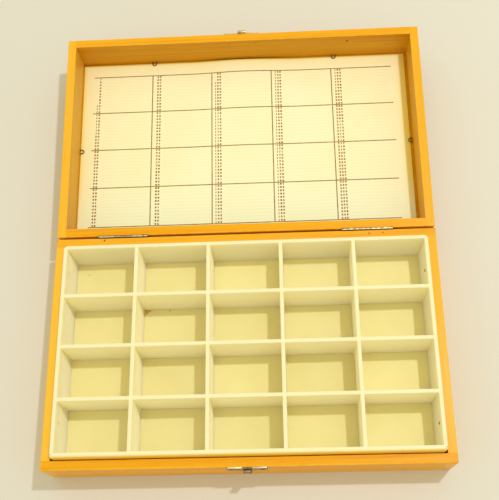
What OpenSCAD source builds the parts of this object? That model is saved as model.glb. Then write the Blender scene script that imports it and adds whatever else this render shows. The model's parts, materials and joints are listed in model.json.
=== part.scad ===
// Wooden fitted storage box, lying open: a comb-jointed base with a moulded tray of
// twenty compartments, and a hinged lid with a numbered index card.
// Millimetres. The origin is the centre of the underside, the front is -Y, up is +Z.
// The lid's pieces are drawn shut and turned open about the hinge pins.

/* [Box] */
// Width of the box, side to side
box_w = 300; // [270:1:340]
// Depth of the box, front to back
box_d = 180.5; // [160:0.5:210]
// Height of the base, underside to rim
base_h = 38.4; // [34:0.4:56]
// Height of the lid, rim to top
lid_h = 34.2; // [28:0.2:46]
// Thickness of the boards
board_t = 7; // [6:0.5:9]
// Gap between the two rims when the lid is shut
parting_gap = 0.3; // [0.2:0.05:0.6]
// Comb fingers in each corner of the base
base_fingers = 6; // [3:1:9]
// Comb fingers in each corner of the lid
lid_fingers = 5; // [3:1:9]
// Turn of the lid from shut to lying open
open_angle = 176.5; // [100:0.5:178]

/* [Panels] */
// Thickness of the bottom panel and the lid panel
panel_t = 4; // [3:0.5:5]
// How far the panels seat in the boards' rabbets
panel_seat = 3; // [2:0.5:4]
// Clearance round a panel in its rabbet
panel_gap = 0.1; // [0.05:0.05:0.3]

/* [Tray] */
// Compartments side by side
tray_columns = 5; // [3:1:7]
// Compartments front to back
tray_rows = 4; // [2:1:6]
// How far the tray's rim stands above the base's rim
tray_rise = 4.2; // [1:0.2:6]
// Thickness of the tray's walls
tray_wall = 2.8; // [1.6:0.1:3.4]
// Thickness of the tray's floor
tray_floor = 2; // [1.5:0.1:3]
// Radius of the tray's outer corners
tray_corner_r = 3.2; // [2:0.2:8]
// Gap from the tray to each side board
tray_side_gap = 0.2; // [0.1:0.05:0.5]
// Gap from the tray to the back board
tray_back_gap = 0.5; // [0.2:0.05:1]
// Gap from the tray to the front board
tray_front_gap = 0.5; // [0.2:0.1:1.5]
// Extra thickness of the tray's front wall
tray_shoulder = 1.8; // [1:0.1:2.4]
// Radius of the tray's front edge
tray_front_r = 2.3; // [1:0.1:3]
// Thickness of the card that lines each compartment
lining_t = 0.5; // [0.3:0.1:1]
// Clearance round each lining
lining_gap = 0.3; // [0.1:0.1:0.8]

/* [Tray pins] */
// Height of the tray pins below the base's rim
tray_pin_drop = 6; // [4:0.5:12]
// Places of the left pins, front to back
left_pin_places = [-55, 63]; // [-70:1:70]
// Places of the right pins, front to back
right_pin_places = [-61, 57]; // [-70:1:70]
// Length of a tray pin in the board
tray_pin_bite = 4.5; // [3:0.5:5.5]

/* [Hinges] */
// Length of each hinge
hinge_l = 40; // [30:1:50]
// Distance from each side face to the middle of its hinge
hinge_inset = 53; // [45:1:90]
// Distance from the back faces to the hinge axis
hinge_out = 0.8; // [0.6:0.05:1.2]
// Radius of the barrel
barrel_r = 0.85; // [0.8:0.05:1.8]
// Radius of the hinge pin
hinge_pin_r = 0.4; // [0.3:0.05:0.8]
// Knuckles along each barrel
knuckles = 9; // [5:2:11]
// Height of a hinge leaf
leaf_h = 10; // [8:0.5:14]
// Thickness of a hinge leaf
leaf_t = 0.5; // [0.4:0.1:1.2]
// Running clearance between a pin and its bore
pin_gap = 0.05; // [0.02:0.01:0.1]
// Clearance between neighbouring knuckles, and beside the leaves
knuckle_gap = 0.1; // [0.05:0.05:0.3]
// Clearance round a barrel
barrel_gap = 0.25; // [0.15:0.05:0.5]

/* [Nails] */
// Radius of a nail's shank
nail_r = 0.5; // [0.4:0.05:0.7]
// Radius of a nail's head
nail_head_r = 1.1; // [0.9:0.1:1.5]
// Thickness of a nail's head
nail_head_t = 0.4; // [0.2:0.05:0.5]
// Clearance round a nail or pin in its hole
nail_gap = 0.05; // [0.02:0.01:0.1]
// Length of a hinge nail in the board
hinge_nail_bite = 5; // [3:0.5:5.5]
// Distance between the nails of a hinge leaf
hinge_nail_pitch = 14; // [8:0.5:14]
// Distance from the rim to the nails of a hinge leaf
hinge_nail_drop = 6; // [4:0.5:7]

/* [Catch] */
// Width of the catch's plates
plate_w = 29.6; // [26:0.2:40]
// Height of the catch's plates
plate_h = 13; // [12.5:0.5:18]
// Thickness of the catch's plates
plate_t = 0.8; // [0.6:0.1:1.2]
// Corner radius of the catch's plates
plate_corner_r = 1; // [0.5:0.1:1.5]
// Distance of each plate's edge from its rim
plate_drop = 0.3; // [0.1:0.1:0.6]
// Distance of each plate's nails from the middle
plate_nail_x = 11.5; // [8:0.5:12]
// Distance of each plate's nails from its rim
plate_nail_drop = 4.5; // [3:0.5:8]
// Length of nail that stands out of the lid's inner face
nail_tip = 0.2; // [0:0.1:0.5]
// Width of the hook
hook_w = 5.5; // [4.5:0.5:9]
// Thickness of the hook's arm
hook_t = 0.9; // [0.6:0.1:1.2]
// Thickness of the hook's nose
nose_t = 0.7; // [0.5:0.1:1]
// Distance from the base's rim down to the hook's pin
hook_pin_drop = 9.5; // [8:0.5:11]
// Radius of the hook's knuckle
hook_knuckle_r = 1.2; // [1:0.1:1.5]
// Radius of the hook's pin
hook_pin_r = 0.5; // [0.4:0.05:0.6]
// Thickness of each ear beside the hook
ear_t = 0.6; // [0.5:0.1:2]
// Clearance between the hook and the pieces beside it
hook_gap = 0.2; // [0.1:0.05:0.3]
// Width of the lid's tongue
tongue_w = 6.9; // [5:0.1:9]
// How far the lip on the tongue stands out of the lid plate
lip_out = 1.1; // [0.8:0.1:1.5]
// Thickness of the lip
lip_t = 0.85; // [0.6:0.05:1]
// Gap between the lip and the nose, up and down
lip_gap = 0.15; // [0.1:0.05:0.3]
// Clearance between the lip and the hook's arm
arm_gap = 0.3; // [0.2:0.05:0.5]
// Overlap of the nose over the lip when latched
lip_hold = 0.75; // [0.5:0.05:0.8]
// Relief behind the tongue, from the front face
tongue_relief = 0.2; // [0.1:0.05:0.3]
// Turn of the hook from latched to standing open
hook_open_angle = 9; // [7:0.5:15]

/* [Index card] */
// Thickness of the card
card_t = 0.4; // [0.2:0.1:1]
// Gap from the card to the left board
card_left_gap = 0.9; // [0.2:0.1:2]
// Strip of lid panel that the card leaves bare at the right
card_right_gap = 2.2; // [1:0.1:10]
// Gap from the card to the front board
card_front_gap = 1.4; // [0.5:0.1:3]
// Gap from the card to the back board
card_back_gap = 1; // [0.5:0.1:3]

/* [Card clips] */
// Radius of the clip wire
clip_wire_r = 0.45; // [0.3:0.05:0.6]
// Width of a clip, outside its wire
clip_w = 4.2; // [3:0.1:6]
// How far a clip stands out over the card
clip_out = 4; // [3:0.1:6]
// Length of each clip leg in the board
clip_bite = 5; // [3:0.5:5.5]
// Clearance between a clip and the card
clip_gap = 0.1; // [0.05:0.05:0.3]
// Distance of each front clip from the side face
front_clip_inset = 70.6; // [40:0.2:110]
// Place of the side clips, front to back
side_clip_y = 2; // [-40:1:40]

/* [Hidden] */
$fn = 64;

// Past this length a cut is clear of the face it goes through
cut_over = 1;

wood = [0.90, 0.62, 0.20];
panel_wood = [0.84, 0.56, 0.20];
ivory = [0.96, 0.90, 0.70];
straw = [0.92, 0.89, 0.62];
nickel = [0.74, 0.74, 0.72];
dull_steel = [0.55, 0.50, 0.42];
wire_brown = [0.55, 0.42, 0.25];
card_cream = [0.98, 0.95, 0.80];

inner_w = box_w - 2 * board_t;
inner_d = box_d - 2 * board_t;
back_y = box_d / 2;
front_y = -box_d / 2;

lid_rim_z = base_h + parting_gap;
lid_top_z = lid_rim_z + lid_h;
lid_panel_z = lid_top_z - panel_t;

// The front and back boards hold the finger at the base's rim, and the side boards
// hold the one at the lid's rim, so that the fingers alternate up the shut box
base_long_fingers = [for (i = [0:base_fingers - 1]) if ((base_fingers - 1 - i) % 2 == 0) i];
base_side_fingers = [for (i = [0:base_fingers - 1]) if ((base_fingers - 1 - i) % 2 == 1) i];
lid_side_fingers = [for (i = [0:lid_fingers - 1]) if (i % 2 == 0) i];
lid_long_fingers = [for (i = [0:lid_fingers - 1]) if (i % 2 == 1) i];

tray_w = inner_w - 2 * tray_side_gap;
tray_d = inner_d - tray_front_gap - tray_back_gap;
tray_y = (tray_front_gap - tray_back_gap) / 2;
tray_h = base_h + tray_rise - panel_t;
cells_y = tray_y + tray_shoulder / 2;
cell_w = (tray_w - (tray_columns + 1) * tray_wall) / tray_columns;
cell_d = (tray_d - tray_shoulder - (tray_rows + 1) * tray_wall) / tray_rows;
tray_pin_z = base_h - tray_pin_drop;

hinge_x = box_w / 2 - hinge_inset;
axis_y = back_y + hinge_out;
axis_z = base_h + parting_gap / 2;
knuckle_l = hinge_l / knuckles;

hook_pin_y = front_y - plate_t - hook_gap - hook_knuckle_r;
hook_pin_z = base_h - hook_pin_drop;
lip_y = front_y - plate_t - lip_out;
arm_y = lip_y - arm_gap;
nose_z = base_h - nose_t;
lip_z = nose_z - lip_gap - lip_t;
nose_y = lip_y + lip_hold;
ear_x = hook_w / 2 + hook_gap + ear_t / 2;

card_z = lid_panel_z - card_t;
clip_z = card_z - clip_gap - clip_wire_r;
clip_bend_r = clip_w / 2 - clip_wire_r;
front_clip_x = box_w / 2 - front_clip_inset;

// Turns the lid's pieces from shut to lying open
module opened() {
    translate([0, axis_y, axis_z])
        rotate([-open_angle, 0, 0])
            translate([0, -axis_y, -axis_z])
                children();
}

// Turns the hook from latched to standing open
module unlatched() {
    translate([0, hook_pin_y, hook_pin_z])
        rotate([hook_open_angle, 0, 0])
            translate([0, -hook_pin_y, -hook_pin_z])
                children();
}

// A block centred in X and Y that stands on z = 0
module slab(w, d, h) {
    translate([-w / 2, -d / 2, 0])
        cube([w, d, h]);
}

// A slab with round upright corners
module round_slab(w, d, h, r) {
    slab(w - 2 * r, d, h);
    slab(w, d - 2 * r, h);
    for (x = [-1, 1], y = [-1, 1])
        translate([x * (w / 2 - r), y * (d / 2 - r), 0])
            cylinder(r = r, h = h);
}

// A rod along X, centred on the place it is drawn at
module rod_x(r, l) {
    rotate([0, 90, 0])
        cylinder(r = r, h = l, center = true);
}

// A nail or pin that is driven along +Y, with the underside of its head at y = 0
module nail(length) {
    rotate([-90, 0, 0])
        cylinder(r = nail_r, h = length);
    rotate([90, 0, 0])
        cylinder(r = nail_head_r, h = nail_head_t);
}

// The hole for a nail, from y = 0 along +Y
module nail_hole(length) {
    translate([0, -cut_over, 0])
        rotate([-90, 0, 0])
            cylinder(r = nail_r + nail_gap, h = length + cut_over);
}

// A front or back board: its own fingers reach the full width of the box
module long_board(side, z, height, fingers, own) {
    translate([0, side * (box_d - board_t) / 2, z]) {
        slab(inner_w, board_t, height);
        for (i = own)
            translate([0, 0, i * height / fingers])
                slab(box_w, board_t, height / fingers);
    }
}

// A side board: its own fingers reach the full depth of the box
module side_board(side, z, height, fingers, own) {
    translate([side * (box_w - board_t) / 2, 0, z]) {
        slab(board_t, inner_d, height);
        for (i = own)
            translate([0, 0, i * height / fingers])
                slab(board_t, box_d, height / fingers);
    }
}

// The rabbet that a panel sits in, open at one face of the frame
module panel_rabbet(z, open_below) {
    translate([0, 0, open_below ? z - cut_over : z])
        slab(inner_w + 2 * panel_seat, inner_d + 2 * panel_seat, panel_t + cut_over);
}

module base_rabbet() {
    panel_rabbet(0, true);
}

module lid_rabbet() {
    panel_rabbet(lid_panel_z, false);
}

module panel() {
    slab(inner_w + 2 * (panel_seat - panel_gap), inner_d + 2 * (panel_seat - panel_gap), panel_t);
}

// Places of the three nails of both hinges' leaves, at one height
module hinge_nail_places(z) {
    for (side = [-1, 1], i = [-1:1])
        translate([side * hinge_x + i * hinge_nail_pitch, back_y, z])
            rotate([0, 0, 180])
                children();
}

base_hinge_nail_z = base_h - hinge_nail_drop;
lid_hinge_nail_z = lid_rim_z + hinge_nail_drop;

// The shallow seats of both leaves and the scoop for their barrels
module hinge_seats(leaf_z) {
    for (side = [-1, 1])
        translate([side * hinge_x, 0, 0]) {
            translate([0, back_y - leaf_t, leaf_z - knuckle_gap])
                translate([-hinge_l / 2 - knuckle_gap, 0, 0])
                    cube([hinge_l + 2 * knuckle_gap, leaf_t + cut_over, leaf_h + 2 * knuckle_gap]);
            translate([0, axis_y, axis_z])
                rod_x(barrel_r + barrel_gap, hinge_l + 2 * barrel_gap);
        }
}

base_leaf_z = base_h - leaf_h;
lid_leaf_z = lid_rim_z;

// One hinge leaf: the plate with every second knuckle, first is 0 or 1.
// A strap at the rim joins each knuckle to the plate
module hinge_leaf(side, leaf_z, first, nail_z) {
    own = [for (i = [first:2:knuckles - 1]) i];
    others = [for (i = [1 - first:2:knuckles - 1]) i];
    strap_l = knuckle_l - knuckle_gap;
    strap_z = leaf_z < lid_leaf_z ? leaf_z + leaf_h - leaf_t : leaf_z;
    difference() {
        union() {
            translate([side * hinge_x - hinge_l / 2, back_y - leaf_t, leaf_z])
                cube([hinge_l, leaf_t, leaf_h]);
            for (i = own) {
                translate([knuckle_x(side, i), axis_y, axis_z])
                    rod_x(barrel_r, strap_l);
                translate([knuckle_x(side, i) - strap_l / 2, back_y - leaf_t, strap_z])
                    cube([strap_l, leaf_t + hinge_out, leaf_t]);
            }
        }
        for (i = others)
            translate([knuckle_x(side, i), axis_y, axis_z])
                rod_x(barrel_r + barrel_gap, knuckle_l + knuckle_gap);
        translate([side * hinge_x, axis_y, axis_z])
            rod_x(hinge_pin_r + pin_gap, hinge_l + 2 * cut_over);
        hinge_nail_places(nail_z)
            nail_hole(leaf_t + cut_over);
    }
}

function knuckle_x(side, i) = side * hinge_x - hinge_l / 2 + (i + 0.5) * knuckle_l;

module hinge_pin(side) {
    translate([side * hinge_x, axis_y, axis_z])
        rod_x(hinge_pin_r, hinge_l);
}

// Places of the four tray pins, turned so that +Y points into each side board
module tray_pin_places() {
    for (y = left_pin_places)
        translate([-tray_w / 2 + tray_wall, y, tray_pin_z])
            rotate([0, 0, 90])
                children();
    for (y = right_pin_places)
        translate([tray_w / 2 - tray_wall, y, tray_pin_z])
            rotate([0, 0, -90])
                children();
}

tray_pin_l = tray_wall + tray_side_gap + tray_pin_bite;

// Places of the compartments' middles, on the tray's floor
module cell_places() {
    for (c = [0:tray_columns - 1], r = [0:tray_rows - 1])
        translate([
            (c - (tray_columns - 1) / 2) * (cell_w + tray_wall),
            cells_y + (r - (tray_rows - 1) / 2) * (cell_d + tray_wall),
            panel_t + tray_floor
        ])
            children();
}

// Places of the catch nails, at one height on the front face
module plate_nail_places(z) {
    for (x = [-plate_nail_x, plate_nail_x])
        translate([x, front_y - plate_t, z])
            children();
}

base_plate_nail_z = base_h - plate_nail_drop;
lid_plate_nail_z = lid_rim_z + plate_nail_drop;
base_plate_nail_l = plate_t + board_t;
lid_plate_nail_l = plate_t + board_t + nail_tip;

// One plate of the catch, flat on the front face, with its lower edge at z
module catch_plate(z) {
    translate([0, front_y, z + plate_h / 2])
        rotate([90, 0, 0])
            round_slab(plate_w, plate_h, plate_t, plate_corner_r);
}

// A clip that stands out of a board along +Y, with the board's face at y = 0
module card_clip() {
    reach = clip_out - clip_w / 2;
    translate([0, reach, 0])
        rotate_extrude(angle = 180)
            translate([clip_bend_r, 0])
                circle(r = clip_wire_r);
    for (x = [-clip_bend_r, clip_bend_r])
        translate([x, -clip_bite, 0])
            rotate([-90, 0, 0])
                cylinder(r = clip_wire_r, h = clip_bite + reach);
}

module card_clip_holes() {
    for (x = [-clip_bend_r, clip_bend_r])
        translate([x, cut_over, 0])
            rotate([90, 0, 0])
                cylinder(r = clip_wire_r + nail_gap, h = clip_bite + nail_gap + cut_over);
}

module front_clip_places() {
    for (x = [-front_clip_x, front_clip_x])
        translate([x, front_y + board_t, clip_z])
            children();
}

module side_clip_places() {
    for (side = [-1, 1])
        translate([side * inner_w / 2, side_clip_y, clip_z])
            rotate([0, 0, side * 90])
                children();
}

module base_front_board() {
    color(wood)
        difference() {
            long_board(-1, 0, base_h, base_fingers, base_long_fingers);
            base_rabbet();
            plate_nail_places(base_plate_nail_z)
                nail_hole(base_plate_nail_l + cut_over);
        }
}

module base_back_board() {
    color(wood)
        difference() {
            long_board(1, 0, base_h, base_fingers, base_long_fingers);
            base_rabbet();
            hinge_seats(base_leaf_z);
            hinge_nail_places(base_hinge_nail_z)
                nail_hole(hinge_nail_bite + leaf_t);
        }
}

module base_side_board(side) {
    color(wood)
        difference() {
            side_board(side, 0, base_h, base_fingers, base_side_fingers);
            base_rabbet();
            tray_pin_places()
                nail_hole(tray_pin_l + nail_gap);
        }
}

module base_left_board() {
    base_side_board(-1);
}

module base_right_board() {
    base_side_board(1);
}

module base_bottom_panel() {
    color(panel_wood)
        panel();
}

// What the rounding of the tray's front edge takes away
module tray_front_rounding() {
    translate([0, tray_y - tray_d / 2 + tray_front_r, panel_t + tray_h - tray_front_r])
        difference() {
            translate([-box_w / 2, -tray_front_r - cut_over, 0])
                cube([box_w, tray_front_r + cut_over, tray_front_r + cut_over]);
            rod_x(tray_front_r, box_w + cut_over);
        }
}

module compartment_tray() {
    color(ivory)
        difference() {
            translate([0, tray_y, panel_t])
                round_slab(tray_w, tray_d, tray_h, tray_corner_r);
            cell_places()
                slab(cell_w, cell_d, tray_h);
            tray_pin_places()
                nail_hole(tray_wall + cut_over);
            tray_front_rounding();
        }
}

module compartment_linings() {
    color(straw)
        cell_places()
            slab(cell_w - 2 * lining_gap, cell_d - 2 * lining_gap, lining_t);
}

module tray_pins() {
    color(dull_steel)
        tray_pin_places()
            nail(tray_pin_l);
}

module hinge_left_base_leaf() {
    color(nickel)
        hinge_leaf(-1, base_leaf_z, 0, base_hinge_nail_z);
}

module hinge_right_base_leaf() {
    color(nickel)
        hinge_leaf(1, base_leaf_z, 0, base_hinge_nail_z);
}

module hinge_left_pin() {
    color(nickel)
        hinge_pin(-1);
}

module hinge_right_pin() {
    color(nickel)
        hinge_pin(1);
}

module hinge_base_nails() {
    color(dull_steel)
        hinge_nail_places(base_hinge_nail_z)
            nail(hinge_nail_bite + leaf_t);
}

// The plate on the base, with a notch for the tongue and two ears for the hook's pin
module catch_base_plate() {
    notch_w = tongue_w + 4 * hook_gap;
    notch_z = lip_z - 2 * hook_gap;
    color(nickel)
        difference() {
            union() {
                catch_plate(base_h - plate_drop - plate_h);
                for (side = [-1, 1])
                    translate([side * ear_x, 0, hook_pin_z]) {
                        translate([-ear_t / 2, hook_pin_y, -hook_knuckle_r])
                            cube([ear_t, front_y - plate_t / 2 - hook_pin_y, 2 * hook_knuckle_r]);
                        translate([0, hook_pin_y, 0])
                            rod_x(hook_knuckle_r, ear_t);
                    }
            }
            translate([-notch_w / 2, front_y - plate_t - cut_over, notch_z])
                cube([notch_w, plate_t + 2 * cut_over, plate_h]);
            translate([0, hook_pin_y, hook_pin_z])
                rod_x(hook_pin_r + pin_gap, 2 * ear_x + 2 * ear_t);
            plate_nail_places(base_plate_nail_z)
                nail_hole(plate_t + cut_over);
        }
}

module catch_base_nails() {
    color(dull_steel)
        plate_nail_places(base_plate_nail_z)
            nail(base_plate_nail_l);
}

// The hook: a knuckle on the pin, an arm and a nose that catches the lid's lip
module catch_hook() {
    color(nickel)
        unlatched()
            difference() {
                union() {
                    translate([0, hook_pin_y, hook_pin_z])
                        rod_x(hook_knuckle_r, hook_w);
                    translate([-hook_w / 2, arm_y - hook_t, hook_pin_z])
                        cube([hook_w, hook_t, hook_pin_drop]);
                    translate([-hook_w / 2, arm_y - hook_t, nose_z])
                        cube([hook_w, nose_y - arm_y + hook_t, nose_t]);
                }
                translate([0, hook_pin_y, hook_pin_z])
                    rod_x(hook_pin_r + pin_gap, hook_w + 2 * cut_over);
            }
}

module catch_hook_pin() {
    color(dull_steel)
        translate([0, hook_pin_y, hook_pin_z])
            rod_x(hook_pin_r, 2 * ear_x + ear_t);
}

module lid_front_board() {
    color(wood)
        opened()
            difference() {
                long_board(-1, lid_rim_z, lid_h, lid_fingers, lid_long_fingers);
                lid_rabbet();
                front_clip_places()
                    card_clip_holes();
                plate_nail_places(lid_plate_nail_z)
                    nail_hole(lid_plate_nail_l + cut_over);
            }
}

module lid_back_board() {
    color(wood)
        opened()
            difference() {
                long_board(1, lid_rim_z, lid_h, lid_fingers, lid_long_fingers);
                lid_rabbet();
                hinge_seats(lid_leaf_z);
                hinge_nail_places(lid_hinge_nail_z)
                    nail_hole(hinge_nail_bite + leaf_t);
            }
}

module lid_side_board(side) {
    color(wood)
        opened()
            difference() {
                side_board(side, lid_rim_z, lid_h, lid_fingers, lid_side_fingers);
                lid_rabbet();
                side_clip_places()
                    card_clip_holes();
            }
}

module lid_left_board() {
    lid_side_board(-1);
}

module lid_right_board() {
    lid_side_board(1);
}

module lid_panel() {
    color(panel_wood)
        opened()
            translate([0, 0, lid_panel_z])
                panel();
}

module index_card() {
    card_w = inner_w - card_left_gap - card_right_gap;
    card_d = inner_d - card_front_gap - card_back_gap;
    color(card_cream)
        opened()
            translate([(card_left_gap - card_right_gap) / 2, (card_front_gap - card_back_gap) / 2, card_z])
                slab(card_w, card_d, card_t);
}

module card_clips() {
    color(wire_brown)
        opened() {
            front_clip_places()
                card_clip();
            side_clip_places()
                card_clip();
        }
}

module hinge_left_lid_leaf() {
    color(nickel)
        opened()
            hinge_leaf(-1, lid_leaf_z, 1, lid_hinge_nail_z);
}

module hinge_right_lid_leaf() {
    color(nickel)
        opened()
            hinge_leaf(1, lid_leaf_z, 1, lid_hinge_nail_z);
}

module hinge_lid_nails() {
    color(dull_steel)
        opened()
            hinge_nail_places(lid_hinge_nail_z)
                nail(hinge_nail_bite + leaf_t);
}

// The plate on the lid, with a tongue that reaches below the rim and ends in a lip
module catch_lid_plate() {
    plate_z = lid_rim_z + plate_drop;
    color(nickel)
        opened()
            difference() {
                union() {
                    catch_plate(plate_z);
                    translate([-tongue_w / 2, front_y - plate_t, lip_z])
                        cube([tongue_w, plate_t - tongue_relief, plate_z + plate_corner_r - lip_z]);
                    translate([-tongue_w / 2, lip_y, lip_z])
                        cube([tongue_w, plate_t + lip_out - tongue_relief, lip_t]);
                }
                plate_nail_places(lid_plate_nail_z)
                    nail_hole(plate_t + cut_over);
            }
}

module catch_lid_nails() {
    color(dull_steel)
        opened()
            plate_nail_places(lid_plate_nail_z)
                nail(lid_plate_nail_l);
}

base_front_board();
base_back_board();
base_left_board();
base_right_board();
base_bottom_panel();
compartment_tray();
compartment_linings();
tray_pins();
hinge_left_base_leaf();
hinge_right_base_leaf();
hinge_left_pin();
hinge_right_pin();
hinge_base_nails();
catch_base_plate();
catch_base_nails();
catch_hook();
catch_hook_pin();
lid_front_board();
lid_back_board();
lid_left_board();
lid_right_board();
lid_panel();
index_card();
card_clips();
hinge_left_lid_leaf();
hinge_right_lid_leaf();
hinge_lid_nails();
catch_lid_plate();
catch_lid_nails();
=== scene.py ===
"""Looks of a wooden storage box that lies open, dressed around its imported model.

The camera, the lights and the floor come first. Then one class for each sub-assembly builds and
dresses its pieces: the two board frames, the tray with its linings, the index card and the metal
fittings. Sizes are in millimetres with the lid shut, and each finished piece is put into the
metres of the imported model, the lid's pieces turned open about the hinge pins.
"""

import functools
import json
import logging
import math
import random
from collections.abc import Callable, Iterable, Sequence
from dataclasses import dataclass, field
from enum import Enum

import bmesh
import bpy
from mathutils import Matrix, Vector, noise


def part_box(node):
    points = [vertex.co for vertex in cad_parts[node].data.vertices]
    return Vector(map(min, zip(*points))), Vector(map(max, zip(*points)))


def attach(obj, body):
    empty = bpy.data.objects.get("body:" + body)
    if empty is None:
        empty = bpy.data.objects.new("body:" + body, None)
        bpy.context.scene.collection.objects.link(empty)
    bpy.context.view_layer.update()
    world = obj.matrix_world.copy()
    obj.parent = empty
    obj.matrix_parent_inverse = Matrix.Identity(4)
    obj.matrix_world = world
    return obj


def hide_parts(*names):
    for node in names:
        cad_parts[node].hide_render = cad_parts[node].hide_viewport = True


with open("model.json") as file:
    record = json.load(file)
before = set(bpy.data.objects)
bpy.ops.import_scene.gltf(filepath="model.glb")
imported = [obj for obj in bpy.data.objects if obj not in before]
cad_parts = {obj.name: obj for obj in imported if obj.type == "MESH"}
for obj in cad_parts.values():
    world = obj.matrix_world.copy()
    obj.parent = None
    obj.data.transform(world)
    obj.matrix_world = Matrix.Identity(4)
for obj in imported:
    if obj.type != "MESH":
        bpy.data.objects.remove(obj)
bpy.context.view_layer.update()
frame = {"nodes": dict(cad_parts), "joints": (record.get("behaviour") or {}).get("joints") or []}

log = logging.getLogger("storage_box")

MM = 0.001
SURFACE = "surface"
FLAT = math.radians(1)
ROUNDED = math.radians(20)
CREASED = math.radians(38)
SHARP = math.radians(40)
PLAIN_TONE = 0.5
ROUND_PROFILE = 0.5

Colour = tuple[float, float, float, float]
Socket = bpy.types.NodeSocket
Value = Socket | float | tuple[float, ...]
Tones = Callable[[Vector], float]


def screen_colour(red: int, green: int, blue: int) -> Colour:
    """Turns a colour as a screen shows it into the linear one that a material takes.

    Args:
        red: Red level, 0 to 255.
        green: Green level, 0 to 255.
        blue: Blue level, 0 to 255.

    Returns:
        The linear colour, with full alpha.
    """

    def linear(level: int) -> float:
        """Turns one level into a linear share."""
        share = level / 255
        return share / 12.92 if share <= 0.04045 else ((share + 0.055) / 1.055) ** 2.4

    return (linear(red), linear(green), linear(blue), 1.0)


def blend(first: Colour, second: Colour, share: float) -> Colour:
    """Mixes two colours, with all of the second at a share of 1."""
    return tuple(a + (b - a) * share for a, b in zip(first, second))


@dataclass(frozen=True)
class Pattern:
    """A noise: how often it repeats in a metre, the span of it that shows, and how strongly."""

    scale: float | tuple[float, float, float]
    detail: float = 2.0
    rough: float = 0.5
    low: float = 0.0
    high: float = 1.0
    amount: float = 1.0


SWAY = Pattern(scale=(6, 25, 25))
BANDS = Pattern(scale=(3.5, 95, 95), detail=3.0, rough=0.55, low=0.35, high=0.68)
RINGS = Pattern(scale=(5, 420, 420), detail=3.0, rough=0.6, low=0.48, high=0.74, amount=0.4)
FIBRES = Pattern(scale=(45, 1700, 1700), detail=4.0, rough=0.65, low=0.5, high=0.78, amount=0.4)
PORES = Pattern(scale=(170, 2600, 2600), low=0.66, high=0.76, amount=0.45)
RUBBED = Pattern(scale=160.0, detail=3.0, rough=0.6, low=0.35, high=0.6)
CLOUDS = Pattern(scale=30.0, detail=4.0, rough=0.55, low=0.42, high=0.7)
DIRTY = Pattern(scale=42.0, detail=1.0, low=0.6, high=0.64)
FINE = Pattern(scale=900.0, detail=3.0, rough=0.6)
RAGGED = Pattern(scale=1500.0, amount=0.8)
SMUDGES = Pattern(scale=45.0, detail=3.0, low=0.3, high=0.7)
TARNISH = Pattern(scale=330.0, detail=4.0, rough=0.65, low=0.62, high=0.72)
SCRATCHES = Pattern(scale=(300, 2600, 2600), detail=3.0, rough=0.7)
PRINT = Pattern(scale=260.0, detail=3.0, low=0.3, high=0.7)
INKED = Pattern(scale=1200.0, low=0.35, high=0.65)


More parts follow.
